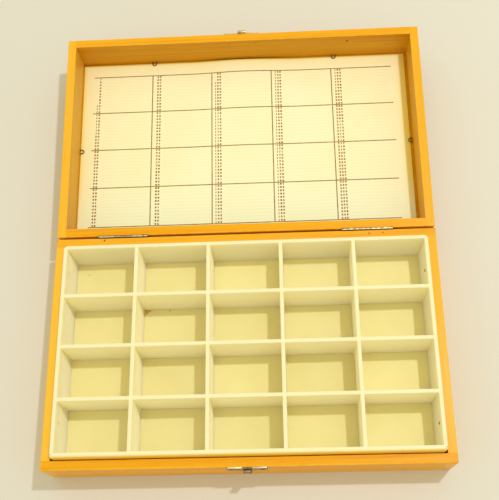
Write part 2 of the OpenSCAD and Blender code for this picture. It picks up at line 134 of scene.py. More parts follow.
class Graph:
    """Adds nodes to one node tree and joins them."""

    def __init__(self, tree: bpy.types.NodeTree) -> None:
        """Takes the node tree to draw in."""
        self.tree = tree

    def fill(self, node: bpy.types.Node, inputs: dict) -> None:
        """Gives a node's sockets their values or links.

        Args:
            node: The node.
            inputs: Sockets by name or number, each with a value or the socket that feeds it.
        """
        for key, value in inputs.items():
            if isinstance(value, Socket):
                self.tree.links.new(value, node.inputs[key])
            else:
                node.inputs[key].default_value = value

    def add(self, kind: str, inputs: dict | None = None, **settings: object) -> bpy.types.Node:
        """Adds a node.

        Args:
            kind: The node's type, without the leading words that all shader nodes share.
            inputs: What goes into its sockets, as for fill.
            **settings: Properties of the node.

        Returns:
            The new node.
        """
        node = self.tree.nodes.new("ShaderNode" + kind)
        for name, value in settings.items():
            setattr(node, name, value)
        self.fill(node, inputs or {})
        return node

    def math(self, operation: str, *values: Value) -> Socket:
        """Adds a Math node on the given values or sockets, and returns its output."""
        return self.add("Math", dict(enumerate(values)), operation=operation).outputs[0]

    def times(self, *values: Value) -> Socket:
        """Multiplies all of the values or sockets, and returns the result."""
        return functools.reduce(lambda first, second: self.math("MULTIPLY", first, second), values)

    def mix(self, factor: Value, first: Value, second: Value) -> Socket:
        """Adds a Mix node between two colours, and returns its output."""
        return self.add("Mix", {0: factor, 6: first, 7: second}, data_type="RGBA").outputs[2]

    def vector(self, operation: str, first: Value, second: Value) -> bpy.types.Node:
        """Adds a Vector Math node on two vectors, and returns it."""
        return self.add("VectorMath", {0: first, 1: second}, operation=operation)

    def noise(self, place: Socket, pattern: Pattern, scale: Socket | None = None) -> Socket:
        """Adds a Noise Texture at a place, and returns its value.

        Args:
            place: The socket that gives the place.
            pattern: The pattern to draw.
            scale: A socket that takes the place of the pattern's scale.

        Returns:
            The noise.
        """
        repeat = pattern.scale if scale is None else scale
        if isinstance(repeat, tuple):
            place, repeat = self.vector("MULTIPLY", place, repeat).outputs["Vector"], 1.0
        inputs = {
            "Vector": place,
            "Scale": repeat,
            "Detail": pattern.detail,
            "Roughness": pattern.rough,
        }
        return self.add("TexNoise", inputs).outputs["Fac"]

    def remap(
        self,
        value: Value,
        low: float,
        high: float,
        to_low: float = 0.0,
        to_high: float = 1.0,
        smooth: bool = False,
    ) -> Socket:
        """Adds a clamped Map Range node.

        Args:
            value: The value to map.
            low: Start of the span that it comes from.
            high: End of the span that it comes from.
            to_low: Result at the start.
            to_high: Result at the end.
            smooth: Whether the result eases in and out.

        Returns:
            The result.
        """
        inputs = dict(enumerate((value, low, high, to_low, to_high)))
        kind = "SMOOTHSTEP" if smooth else "LINEAR"
        made = self.add("MapRange", inputs, interpolation_type=kind, clamp=True)
        return made.outputs["Result"]

    def share(self, value: Value, pattern: Pattern) -> Socket:
        """Spreads the span of a noise that shows from 0 to the pattern's amount."""
        return self.remap(value, pattern.low, pattern.high, 0.0, pattern.amount)

    def drawn(self, place: Socket, pattern: Pattern, scale: Socket | None = None) -> Socket:
        """Adds a pattern's noise at a place, and returns the share of it that shows."""
        return self.share(self.noise(place, pattern, scale), pattern)

    def fade(self, away: Socket, reach: float, amount: float) -> Socket:
        """Falls softly from an amount to 0 as a distance grows to a reach."""
        return self.remap(away, 0.0, reach, amount, 0.0, smooth=True)

    def surface(self) -> bpy.types.Node:
        """Splits the piece's own surface attribute: Red is edge, Green end grain, Blue tone."""
        node = self.add("Attribute", attribute_type="GEOMETRY", attribute_name=SURFACE)
        return self.add("SeparateColor", {"Color": node.outputs["Color"]})

    def place(self) -> Socket:
        """Returns the Object coordinates."""
        return self.add("TexCoord").outputs["Object"]


def new_group(
    name: str, inputs: dict[str, str], outputs: dict[str, str]
) -> tuple[Graph, dict[str, Socket], bpy.types.Node]:
    """Makes an empty shader node group.

    Args:
        name: The group's name.
        inputs: The kind of each input socket by its name.
        outputs: The kind of each output socket by its name.

    Returns:
        The graph to draw in, the input sockets by name, and the Group Output node.
    """
    tree = bpy.data.node_groups.new(name, "ShaderNodeTree")
    for sockets, direction in ((inputs, "INPUT"), (outputs, "OUTPUT")):
        for socket, kind in sockets.items():
            tree.interface.new_socket(socket, in_out=direction, socket_type="NodeSocket" + kind)
    start = tree.nodes.new("NodeGroupInput")
    end = tree.nodes.new("NodeGroupOutput")
    return Graph(tree), {out.name: out for out in start.outputs if out.name}, end


def grain_group() -> bpy.types.NodeTree:
    """Makes the group that draws straight wood grain along X.

    Returns:
        A group that turns a place into a colour, a roughness and a height.
    """
    sway_h, end_amount, fibre_h = 0.006, 0.35, 0.5
    rough_span = (0.3, 0.8, 0.3, 0.48)
    graph, given, end = new_group(
        "straight_grain",
        {
            "Place": "Vector",
            "Pale": "Color",
            "Main": "Color",
            "Dark": "Color",
            "Tone": "Float",
            "End Grain": "Float",
        },
        {"Color": "Color", "Roughness": "Float", "Height": "Float"},
    )
    place, dark = given["Place"], given["Dark"]
    sway = graph.add("CombineXYZ", {"Y": graph.times(graph.noise(place, SWAY), sway_h)})
    swayed = graph.vector("ADD", place, sway.outputs["Vector"]).outputs["Vector"]
    fibres = graph.noise(place, FIBRES)
    pore_share = graph.drawn(place, PORES)
    end_share = graph.times(given["End Grain"], end_amount)
    colour = graph.mix(graph.drawn(swayed, BANDS), given["Main"], given["Pale"])
    for share in (graph.drawn(swayed, RINGS), graph.share(fibres, FIBRES), pore_share, end_share):
        colour = graph.mix(share, colour, dark)
    # The Tone dims the colour: the boards use it to paint shade on the faces inside the box.
    toned = graph.add("HueSaturation", {"Value": given["Tone"], "Color": colour})
    outputs = {
        "Color": toned.outputs["Color"],
        "Roughness": graph.remap(fibres, *rough_span),
        "Height": graph.math("SUBTRACT", graph.times(fibres, fibre_h), pore_share),
    }
    graph.fill(end, outputs)
    return graph.tree


def wear_group() -> bpy.types.NodeTree:
    """Makes the group that lightens or darkens a surface along its worn edges.

    Returns:
        A group that turns a colour and an edge mask into a worn colour.
    """
    graph, given, end = new_group(
        "edge_wear",
        {"Color": "Color", "Worn": "Color", "Edge": "Float", "Place": "Vector", "Amount": "Float"},
        {"Color": "Color"},
    )
    mask = graph.times(given["Edge"], graph.drawn(given["Place"], RUBBED), given["Amount"])
    graph.fill(end, {"Color": graph.mix(mask, given["Color"], given["Worn"])})
    return graph.tree


def mottle_group() -> bpy.types.NodeTree:
    """Makes the group that clouds a colour softly and strews a few specks of dirt over it.

    Returns:
        A group that turns a colour into a mottled one, with a height for bump.
    """
    cell_scale, speck_r, speck_edge = 85.0, 0.02, 0.05
    graph, given, end = new_group(
        "mottle_and_specks",
        {
            "Color": "Color",
            "Cloud": "Color",
            "Speck": "Color",
            "Place": "Vector",
            "Cloud Scale": "Float",
            "Cloud Amount": "Float",
            "Speck Amount": "Float",
        },
        {"Color": "Color", "Height": "Float"},
    )
    place = given["Place"]
    clouds = graph.drawn(place, CLOUDS, given["Cloud Scale"])
    clouded = graph.mix(graph.times(clouds, given["Cloud Amount"]), given["Color"], given["Cloud"])
    cells = graph.add("TexVoronoi", {"Vector": place, "Scale": cell_scale, "Randomness": 1.0})
    near = graph.remap(cells.outputs["Distance"], speck_r, speck_edge, 1.0, 0.0)
    speck_share = graph.times(near, graph.drawn(place, DIRTY), given["Speck Amount"])
    colour = graph.mix(speck_share, clouded, given["Speck"])
    graph.fill(end, {"Color": colour, "Height": graph.noise(place, FINE)})
    return graph.tree


def spot_group() -> bpy.types.NodeTree:
    """Makes the group that puts one small dark spot on a surface, such as a knot or a nick.

    Returns:
        A group that turns a colour, a centre and a radius into a colour with the spot.
    """
    middle, edge, full = 0.55, 1.1, 0.85
    graph, given, end = new_group(
        "dark_spot",
        {
            "Color": "Color",
            "Spot": "Color",
            "Place": "Vector",
            "Centre": "Vector",
            "Radius": "Float",
        },
        {"Color": "Color"},
    )
    place = given["Place"]
    away = graph.vector("DISTANCE", place, given["Centre"]).outputs["Value"]
    uneven = graph.times(graph.math("SUBTRACT", graph.noise(place, RAGGED), 0.5), RAGGED.amount)
    ragged = graph.math("ADD", graph.math("DIVIDE", away, given["Radius"]), uneven)
    mask = graph.remap(ragged, middle, edge, full, 0.0, smooth=True)
    graph.fill(end, {"Color": graph.mix(mask, given["Color"], given["Spot"])})
    return graph.tree


@dataclass(frozen=True)
class Spot:
    """A small mark at a place with the lid shut, in millimetres, dark unless it has a colour."""

    x: float
    y: float
    z: float
    radius: float
    colour: Colour | None = None


@dataclass(frozen=True)
class Mottle:
    """A colour that is clouded softly and carries a few specks of dirt."""

    main: Colour
    cloud: Colour
    speck: Colour
    cloud_scale: float
    cloud_amount: float
    speck_amount: float


class Groups:
    """The shader node groups that several finishes share, each built once."""

    def __init__(self) -> None:
        """Builds every group."""
        self.grain = grain_group()
        self.wear = wear_group()
        self.mottle = mottle_group()
        self.spot = spot_group()

    def mottled(self, graph: Graph, mottle: Mottle) -> bpy.types.Node:
        """Adds a mottled colour.

        Args:
            graph: The material's graph.
            mottle: Its colours and amounts.

        Returns:
            The node that gives the colour and the height.
        """
        inputs = {
            "Place": graph.place(),
            "Color": mottle.main,
            "Cloud": mottle.cloud,
            "Speck": mottle.speck,
            "Cloud Scale": mottle.cloud_scale,
            "Cloud Amount": mottle.cloud_amount,
            "Speck Amount": mottle.speck_amount,
        }
        return graph.add("Group", inputs, node_tree=self.mottle)

    def worn(
        self, graph: Graph, colour: Socket, edge: Socket, worn: Colour, amount: float
    ) -> Socket:
        """Wears a colour along the piece's edges.

        Args:
            graph: The material's graph.
            colour: The socket that gives the colour.
            edge: The socket that marks the edges.
            worn: The colour of a worn edge.
            amount: How far the edges have worn.

        Returns:
            The worn colour.
        """
        inputs = {
            "Color": colour,
            "Edge": edge,
            "Place": graph.place(),
            "Worn": worn,
            "Amount": amount,
        }
        return graph.add("Group", inputs, node_tree=self.wear).outputs["Color"]

    def marked(
        self,
        graph: Graph,
        colour: Socket,
        spots: Iterable[Spot],
        mark: Colour,
        turn: Matrix = Matrix.Identity(4),
    ) -> Socket:
        """Puts spots on a colour.

        Args:
            graph: The material's graph.
            colour: The socket that gives the colour.
            spots: The spots.
            mark: The colour of a spot that has none of its own.
            turn: Turns the spots from shut to where the piece rests.

        Returns:
            The colour with the spots.
        """
        for spot in spots:
            inputs = {
                "Color": colour,
                "Place": graph.place(),
                "Spot": spot.colour or mark,
                "Centre": turn @ (Vector((spot.x, spot.y, spot.z)) * MM),
                "Radius": spot.radius * MM,
            }
            colour = graph.add("Group", inputs, node_tree=self.spot).outputs["Color"]
        return colour


class Paint(Graph):
    """A new material that holds one Principled BSDF."""

    def __init__(self, name: str) -> None:
        """Makes the material.

        Args:
            name: The material's name.
        """
        self.material = bpy.data.materials.new(name)
        self.material.use_nodes = True
        super().__init__(self.material.node_tree)

    def finish(
        self,
        settings: dict,
        height: Socket | None = None,
        relief: tuple[float, float] = (0.0, 0.0),
    ) -> bpy.types.Material:
        """Feeds the shader.

        Args:
            settings: The shader's sockets by name, as for fill.
            height: The socket that gives the height for a bump.
            relief: The bump's strength and the height of a full step, in metres.

        Returns:
            The material.
        """
        shader = self.tree.nodes["Principled BSDF"]
        self.fill(shader, settings)
        if height is not None:
            strength, step = relief
            bump = self.add("Bump", {"Strength": strength, "Distance": step, "Height": height})
            self.fill(shader, {"Normal": bump.outputs["Normal"]})
        return self.material


class Grain(Enum):
    """Direction of a piece's grain with the lid shut, and the turn that lays it along X."""

    ALONG_X = 0.0
    ALONG_Y = -90.0


@dataclass(frozen=True)
class WoodFinish:
    """Clear varnish over pale, straight-grained wood."""

    pale: Colour = screen_colour(250, 185, 36)
    main: Colour = screen_colour(240, 167, 18)
    dark: Colour = screen_colour(204, 122, 4)
    worn: Colour = screen_colour(255, 204, 84)
    bleached: Colour = screen_colour(255, 208, 78)
    mark: Colour = screen_colour(92, 50, 12)
    wear: float = 0.55
    # Value of the painted shade on the faces inside the box.
    dull: float = 0.77
    coat_weight: float = 0.06
    coat_roughness: float = 0.25
    specular: float = 0.1
    relief: tuple[float, float] = (0.35, 0.00012)

    def material(
        self,
        groups: Groups,
        name: str,
        grain: Grain,
        turn: Matrix,
        shift: Sequence[float],
        bleach: float,
        spots: Iterable[Spot] = (),
    ) -> bpy.types.Material:
        """Makes the wood of one board.

        Args:
            groups: The shared node groups.
            name: The material's name.
            grain: Direction of the board's grain.
            turn: Turns the board from shut to where it rests.
            shift: Moves the pattern, so that no two boards have the same grain.
            bleach: How far this board has turned paler, 0 for the plain colours.
            spots: Dark marks on the board.

        Returns:
            The material.
        """
        graph = Paint(name)
        swing = turn.to_euler("XYZ").x
        mapping = {
            "Vector": graph.place(),
            "Location": tuple(shift),
            "Rotation": (-swing, 0.0, math.radians(grain.value)),
        }
        laid = graph.add("Mapping", mapping)
        surface = graph.surface().outputs
        inputs = {
            "Place": laid.outputs["Vector"],
            "Pale": blend(self.pale, self.bleached, bleach),
            "Main": blend(self.main, self.bleached, bleach),
            "Dark": blend(self.dark, self.bleached, bleach),
            # Tone 0 marks a face inside the box, which gets the painted shade.
            "Tone": graph.remap(surface["Blue"], 0.0, 1.0, self.dull, 1.0),
            "End Grain": surface["Green"],
        }
        wood = graph.add("Group", inputs, node_tree=groups.grain).outputs
        worn = groups.worn(graph, wood["Color"], surface["Red"], self.worn, self.wear)
        settings = {
            "Base Color": groups.marked(graph, worn, spots, self.mark, turn),
            "Roughness": wood["Roughness"],
            "Specular IOR Level": self.specular,
            "Coat Weight": self.coat_weight,
            "Coat Roughness": self.coat_roughness,
        }
        return graph.finish(settings, wood["Height"], self.relief)


@dataclass(frozen=True)
class MottledFinish:
    """A smooth pale surface that is clouded a little: moulded plastic or plain card."""

    name: str
    mottle: Mottle
    edge: Colour
    edge_amount: float
    roughness: float
    specular: float
    subsurface: float
    relief: tuple[float, float]
    smudged: tuple[float, float] = (-0.05, 0.07)
    tone_span: float = 0.0
    glow_depth: float = 1.5
    glow_reach: tuple[float, float, float] = (1.0, 0.5, 0.25)
    # Colour of a painted shade, warmed by reflected orange wood light, along the front face.
    toned: Colour | None = None
    toned_reach: tuple[float, float] = (0.4, 2.9)

    def material(
        self,
        groups: Groups,
        spots: Iterable[Spot] = (),
        front: float | None = None,
    ) -> bpy.types.Material:
        """Makes the material.

        Args:
            groups: The shared node groups.
            spots: Dark marks on the piece.
            front: Place along Y of the front face, where a painted shade with reflected wood light
                is laid, in millimetres.

        Returns:
            The material.
        """
        graph = Paint(self.name)
        place = graph.place()
        surface = graph.surface().outputs
        mottle = groups.mottled(graph, self.mottle).outputs
        colour = mottle["Color"]
        if self.tone_span:
            level = graph.remap(surface["Blue"], 0.0, 1.0, 1.0 - self.tone_span, 1.0)
            colour = graph.add("HueSaturation", {"Value": level, "Color": colour}).outputs["Color"]
        colour = groups.worn(graph, colour, surface["Red"], self.edge, self.edge_amount)
        # Paints shade and reflected orange wood light near the front face.
        if front is not None and self.toned:
            along = graph.add("SeparateXYZ", {0: place}).outputs["Y"]
            near, far = ((front + reach) * MM for reach in self.toned_reach)
            shade_share = graph.remap(along, near, far, 1.0, 0.0, smooth=True)
            colour = graph.mix(shade_share, colour, self.toned)
        smudges = graph.noise(place, SMUDGES)
        span = [self.roughness + part for part in self.smudged]
        settings = {
            "Base Color": groups.marked(graph, colour, spots, self.mottle.speck),
            "Roughness": graph.remap(smudges, SMUDGES.low, SMUDGES.high, *span),
            "Specular IOR Level": self.specular,
            "Subsurface Weight": self.subsurface,
            "Subsurface Scale": self.glow_depth * MM,
            "Subsurface Radius": self.glow_reach,
        }
        return graph.finish(settings, mottle["Height"], self.relief)


@dataclass(frozen=True)
class MetalFinish:
    """Bare or plated metal, dulled by age in patches, with painted light: a low surface tone keeps
    the tarnish off as a painted highlight, and a high one mixes in the dark colour.
    """

    name: str
    clean: Colour
    tarnish: Colour
    edge: Colour
    tarnish_share: float
    roughness: float
    dark: Colour | None = None
    wear: float = 0.8
    # A low surface tone keeps the tarnish down to this share, a painted highlight.
    bright_share: float = 0.35
    bright_tone: float = 0.5
    tarnish_roughness: float = 0.25
    relief: tuple[float, float] = (0.2, 0.00004)

    def material(self, groups: Groups) -> bpy.types.Material:
        """Makes the material.

        Args:
            groups: The shared node groups.

        Returns:
            The material.
        """
        graph = Paint(self.name)
        place = graph.place()
        surface = graph.surface().outputs
        low, high = TARNISH.low - self.tarnish_share / 2, TARNISH.high - self.tarnish_share / 4
        share = graph.times(
            graph.remap(graph.noise(place, TARNISH), low, high),
            graph.remap(surface["Blue"], 0.0, self.bright_tone, self.bright_share, 1.0),
        )
        dull = graph.mix(share, self.clean, self.tarnish)
        colour = groups.worn(graph, dull, surface["Red"], self.edge, self.wear)
        # A high tone mixes in the dark colour, which paints shade on the nickel fittings.
        if self.dark:
            colour = graph.mix(surface["Blue"], colour, self.dark)
        rough = self.roughness + self.tarnish_roughness
        settings = {
            "Base Color": colour,
            "Roughness": graph.remap(share, 0.0, 1.0, self.roughness, rough),
            "Metallic": 1.0,
        }
        return graph.finish(settings, graph.noise(place, SCRATCHES), self.relief)


@dataclass(frozen=True)
class Ruling:
    """Printed lines of the index card, in millimetres from its left edge and its hinge edge."""

    left: float = 9.1
    right: float = 271.1
    column_start: float = 8.97
    column_pitch: float = 52.43
    columns: int = 5
    low: float = 10.5
    row_pitch: float = 35.4
    rows: int = 4
    lines: int = 12
    heavy: float = 0.93
    thin: float = 0.28
    thin_start: float = 10.5
    thin_end: float = 1.6

    @property
    def line_pitch(self) -> float:
        """Distance between two thin lines."""
        return self.row_pitch / self.lines

    @property
    def high(self) -> float:
        """Place of the farthest heavy line."""
        return self.low + self.rows * self.row_pitch


@dataclass(frozen=True)
class CardFinish:
    """Cream card, printed with a heavy grid and thin ruled lines. Reaches are in millimetres."""

    ruling: Ruling
    mottle: Mottle = Mottle(
        main=screen_colour(254, 251, 216),
        cloud=screen_colour(252, 243, 192),
        speck=screen_colour(214, 176, 110),
        cloud_scale=14.0,
        cloud_amount=0.5,
        speck_amount=0.5,
    )
    # Painted light near the hinge edge, which lifts the shade that falls there.
    fresh: Colour = screen_colour(244, 255, 228)
    # Yellow of age at the card's edges, which also paints shade and reflected orange wood light
    # there.
    aged: Colour = screen_colour(250, 226, 80)
    heavy_ink: Colour = screen_colour(130, 94, 0)
    thin_ink: Colour = screen_colour(216, 186, 104)
    # Reaches and strengths of the edge yellowing: the right strip and the rim are mostly painted
    # shade and reflected wood light, the wide band partly age.
    right_aged: tuple[float, float] = (9.0, 0.9)
    wide_aged: tuple[float, float] = (16.0, 0.15)
    rim_aged: tuple[float, float] = (4.5, 0.6)
    fresh_span: tuple[float, float] = (4.0, 60.0)
    fresh_amount: float = 0.85
    faintest: float = 0.35
    thin_amount: float = 0.32
    heavy_amounts: tuple[float, float] = (0.75, 0.95)
    roughness: tuple[float, float] = (0.6, 0.72)
    specular: float = 0.08
    relief: tuple[float, float] = (0.25, 0.00005)

    def _band(self, graph: Graph, value: Socket, low: float, high: float) -> Socket:
        """Returns 1 where a value lies between two limits, and 0 elsewhere."""
        above, below = graph.math("GREATER_THAN", value, low), graph.math("LESS_THAN", value, high)
        return graph.times(above, below)

    def _lines(
        self, graph: Graph, value: Socket, start: float, pitch: float, width: float
    ) -> Socket:
        """Draws lines with soft edges.

        Args:
            graph: The material's graph.
            value: The socket that gives the place across the lines.
            start: Place of the first line.
            pitch: Distance between two lines.
            width: Width of a line.

        Returns:
            1 on the lines and 0 beside them.
        """
        inner, outer = 0.35, 0.65
        away = graph.math("PINGPONG", graph.math("SUBTRACT", value, start), pitch / 2)
        return graph.remap(away, width * inner, width * outer, 1.0, 0.0, smooth=True)

    def _print(self, graph: Graph, across: Socket, up: Socket) -> tuple[Socket, Socket]:
        """Draws the ruling.

        Args:
            graph: The material's graph.
            across: The socket that gives the place from the left edge.
            up: The socket that gives the place from the hinge edge.

        Returns:
            1 on the heavy lines, and 1 on the thin ones.
        """
        rule = self.ruling
        half = rule.heavy / 2
        last_column = rule.column_start + rule.columns * rule.column_pitch
        along_rows = self._band(graph, across, rule.left, rule.right)
        along_columns = self._band(graph, up, rule.low, rule.high)
        rows = graph.times(
            self._lines(graph, up, rule.low, rule.row_pitch, rule.heavy),
            along_rows,
            self._band(graph, up, rule.low - half, rule.high + half),
        )
        columns = graph.times(
            self._lines(graph, across, rule.column_start, rule.column_pitch, rule.heavy),
            self._band(graph, across, rule.column_start + rule.heavy, last_column - rule.heavy),
            along_columns,
        )
        from_start = graph.math("SUBTRACT", across, rule.column_start)
        in_column = graph.math("FLOORED_MODULO", from_start, rule.column_pitch)
        thin = graph.times(
            self._lines(graph, up, rule.low, rule.line_pitch, rule.thin),
            self._band(graph, in_column, rule.thin_start, rule.column_pitch - rule.thin_end),
            along_rows,
            along_columns,
        )
        return graph.math("MAXIMUM", rows, columns), thin

    def material(self, groups: Groups, width: float, depth: float) -> bpy.types.Material:
        """Makes the printed card, on a UV map that runs once over it.

        Args:
            groups: The shared node groups.
            width: Width of the card, in millimetres.
            depth: Depth of the card, in millimetres.

        Returns:
            The material.
        """
        graph = Paint("printed_card")
        place = graph.place()
        page = graph.add("SeparateXYZ", {0: graph.add("UVMap", uv_map="page").outputs["UV"]})
        across = graph.times(page.outputs["X"], width)
        up = graph.times(page.outputs["Y"], depth)
        heavy, thin = self._print(graph, across, up)
        mottle = groups.mottled(graph, self.mottle).outputs
        # Yellows the card towards its edges with age, and with painted shade and reflected orange
        # wood light in the strip along the right edge and at the rim of the left and far edges.
        nearest = graph.math("MINIMUM", across, graph.math("SUBTRACT", depth, up))
        aged = graph.fade(graph.math("SUBTRACT", width, across), *self.right_aged)
        for band in (self.wide_aged, self.rim_aged):
            aged = graph.math("MAXIMUM", aged, graph.fade(nearest, *band))
        colour = graph.mix(aged, mottle["Color"], self.aged)
        # Paints light over the card near its hinge edge.
        painted_light_share = graph.remap(up, *self.fresh_span, self.fresh_amount, 0.0, smooth=True)
        colour = graph.mix(painted_light_share, colour, self.fresh)
        uneven = graph.remap(graph.noise(place, PRINT), PRINT.low, PRINT.high, self.faintest, 1.0)
        colour = graph.mix(graph.times(thin, uneven, self.thin_amount), colour, self.thin_ink)
        strength = graph.remap(uneven, self.faintest, 1.0, *self.heavy_amounts)
        settings = {
            "Base Color": graph.mix(graph.times(heavy, strength), colour, self.heavy_ink),
            "Roughness": graph.remap(uneven, self.faintest, 1.0, *self.roughness),
            "Specular IOR Level": self.specular,
        }
        return graph.finish(settings, mottle["Height"], self.relief)


@dataclass(frozen=True)
class InkFinish:
    """Printed numbers, brown at the first columns and brick red further on."""

    dark: Colour = screen_colour(142, 106, 0)
    red: Colour = screen_colour(166, 106, 0)
    worn_share: float = 0.3
    red_share: float = 0.8
    roughness: tuple[float, float] = (0.6, 0.75)
    specular: float = 0.06

    def material(self) -> bpy.types.Material:
        """Makes the material, which reads each number's tone from its own attribute.

        Returns:
            The material.
        """
        graph = Paint("number_ink")
        worn = graph.drawn(graph.place(), INKED)
        tone = graph.surface().outputs["Blue"]
        tone = graph.math("ADD", tone, graph.times(worn, self.worn_share))
        settings = {
            "Base Color": graph.mix(graph.times(tone, self.red_share), self.dark, self.red),
            "Roughness": graph.remap(worn, 0.0, 1.0, *self.roughness),
            "Specular IOR Level": self.specular,
        }
        return graph.finish(settings)


@dataclass(frozen=True)
class Tag:
    """What a finished piece is called, what it rides on and what it stands for."""

    name: str
    body: str
    slot: str
    replaces: tuple[str, ...]


def new_object(name: str, data: bpy.types.ID) -> bpy.types.Object:
    """Makes an object at the origin and links it to the scene.

    Args:
        name: Its name.
        data: Its mesh, camera or light.

    Returns:
        The object.
    """
    made = bpy.data.objects.new(name, data)
    bpy.context.scene.collection.objects.link(made)
    return made


def spaced(low: float, high: float, count: int) -> list[float]:
    """Gives the places that cut a span into equal parts, both ends included."""
    return [low + (high - low) * i / count for i in range(count + 1)]


def extrude(
    bm: bmesh.types.BMesh, faces: list[bmesh.types.BMFace], offset: Vector, keep: bool = False
) -> list[bmesh.types.BMFace]:
    """Extrudes faces as one region.

    Args:
        bm: The mesh.
        faces: The faces to extrude.
        offset: How far the new faces move.
        keep: Whether the old faces stay, as they do when a sheet becomes a solid.

    Returns:
        The new faces at the far end.
    """
    made = bmesh.ops.extrude_face_region(bm, geom=faces)["geom"]
    moved = [part for part in made if isinstance(part, bmesh.types.BMVert)]
    bmesh.ops.translate(bm, vec=offset, verts=moved)
    if not keep:
        bmesh.ops.delete(bm, geom=faces, context="FACES")
    return [part for part in made if isinstance(part, bmesh.types.BMFace)]


def lattice(columns: Sequence[float], rows: Sequence[float]) -> bmesh.types.BMesh:
    """Makes a flat grid whose lines lie at the given places.

    Args:
        columns: Places of the lines along X, in rising order.
        rows: Places of the lines along Y, in rising order.

    Returns:
        The grid on z = 0.
    """
    bm = bmesh.new()
    bmesh.ops.create_grid(bm, x_segments=len(columns) - 1, y_segments=len(rows) - 1, size=1.0)
    for vert in bm.verts:
        column = round((vert.co.x + 1) / 2 * (len(columns) - 1))
        row = round((vert.co.y + 1) / 2 * (len(rows) - 1))
        vert.co = (columns[column], rows[row], 0)
    return bm


def bevel(bm: bmesh.types.BMesh, parts: list, width: float, segments: int, kind: str) -> None:
    """Bevels parts of a mesh to a round profile.

    Args:
        bm: The mesh.
        parts: The edges or vertices.
        width: Width of the bevel.
        segments: Steps across it.
        kind: EDGES or VERTICES.
    """
    bmesh.ops.bevel(
        bm,
        geom=parts,
        offset=width,
        offset_type="OFFSET",
        segments=segments,
        profile=ROUND_PROFILE,
        affect=kind,
        material=-1,
        clamp_overlap=kind == "EDGES",
    )


def round_edges(piece: bpy.types.Object, width: float, segments: int) -> None:
    """Rounds the edges that carry a bevel weight, and keeps the flat faces' shading flat.

    Args:
        piece: The piece, whose mesh is replaced by the rounded one.
        width: Width of the rounding at full weight, in metres.
        segments: Steps across the rounding.
    """
    modifier = piece.modifiers.new("rounding", "BEVEL")
    modifier.limit_method = "WEIGHT"
    modifier.width = width
    modifier.segments = segments
    modifier.profile = ROUND_PROFILE
    modifier.use_clamp_overlap = False
    modifier.harden_normals = True
    graph = bpy.context.evaluated_depsgraph_get()
    rounded = bpy.data.meshes.new_from_object(piece.evaluated_get(graph))
    piece.modifiers.clear()
    piece.data = rounded


def mark_surface(
    mesh: bpy.types.Mesh, grain: Vector | None = None, tones: Tones | None = None
) -> None:
    """Writes the surface attribute: red on rounded edges, green on end grain, blue for tone.

    Args:
        mesh: The mesh, with its flat faces square to the axes.
        grain: Direction of the grain, if the piece has one.
        tones: Gives a tone, 0 to 1, for the middle of a face.
    """
    square = 0.999
    values: list[float] = []
    for face in mesh.polygons:
        edge = 0.0 if max(abs(part) for part in face.normal) > square else 1.0
        end = 1.0 if grain is not None and abs(face.normal.dot(grain)) > square else 0.0
        tone = tones(face.center) if tones else PLAIN_TONE
        values.extend((edge, end, tone, 1.0) * face.loop_total)
    layer = mesh.attributes.new(SURFACE, "FLOAT_COLOR", "CORNER")
    layer.data.foreach_set("color", values)


def place_piece(
    bm: bmesh.types.BMesh,
    tag: Tag,
    material: bpy.types.Material,
    turn: Matrix = Matrix.Identity(4),
    rounding: tuple[float, int] | None = None,
    grain: Vector | None = None,
    tones: Tones | None = None,
) -> bpy.types.Object:
    """Turns a mesh in millimetres into a finished piece that rides on its body.

    Args:
        bm: The shape with the lid shut, in millimetres. It is freed.
        tag: The piece's name, body, slot and the nodes that it stands for.
        material: Its finish.
        turn: Turns it from shut to where it rests.
        rounding: Width in millimetres and steps of the rounded edges.
        grain: Direction of its grain.
        tones: Gives a tone for the middle of a face.

    Returns:
        The piece.
    """
    bmesh.ops.recalc_face_normals(bm, faces=bm.faces)
    bm.transform(Matrix.Scale(MM, 4))
    mesh = bpy.data.meshes.new(tag.name)
    bm.to_mesh(mesh)
    bm.free()
    piece = new_object(tag.name, mesh)
    mesh.shade_smooth()
    if rounding:
        width, segments = rounding
        round_edges(piece, width * MM, segments)
    else:
        mesh.set_sharp_from_angle(angle=CREASED)
    mark_surface(piece.data, grain, tones)
    piece.data.transform(turn)
    piece.data.materials.clear()
    piece.data.materials.append(material)
    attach(piece, tag.body)
    if tag.replaces:
        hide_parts(*tag.replaces)
    log.info("%s: %d faces on %s", tag.name, len(piece.data.polygons), tag.body)
    return piece


def weigh_edges(
    bm: bmesh.types.BMesh, width: Callable[[bmesh.types.BMEdge], float], full: float
) -> None:
    """Gives each edge the bevel weight of its rounding.

    Args:
        bm: The mesh, whose normals are put right first.
        width: Gives the width of an edge's rounding.
        full: The width at full weight.
    """
    bmesh.ops.recalc_face_normals(bm, faces=bm.faces)
    layer = bm.edges.layers.float.new("bevel_weight_edge")
    for edge in bm.edges:
        if edge.is_manifold and edge.calc_face_angle(0.0) > ROUNDED:
            edge[layer] = width(edge) / full


class Lid:
    """The lid's hinge axis and the turn between shut and lying open."""

    def __init__(self) -> None:
        """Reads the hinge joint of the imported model."""
        joint = next(j for j in frame["joints"] if j["name"] == "lid_hinge")
        axis = Vector(joint["pos_m"])
        angle = math.radians(joint["range_deg"][1])
        there = Matrix.Translation(axis)
        self.opened = there @ Matrix.Rotation(-angle, 4, "X") @ there.inverted()

    def shut_box(self, node: str) -> tuple[Vector, Vector]:
        """Measures a node of the lid as it lies with the lid shut.

        Args:
            node: The node's name.

        Returns:
            Its lowest and highest corners, in millimetres.
        """
        back = self.opened.inverted()
        points = [back @ vert.co for vert in frame["nodes"][node].data.vertices]
        low, high = (Vector(map(pick, zip(*points))) / MM for pick in (min, max))
        return low, high


def base_box(node: str) -> tuple[Vector, Vector]:
    """Measures a node of the base: its lowest and highest corners, in millimetres."""
    low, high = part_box(node)
    return low / MM, high / MM


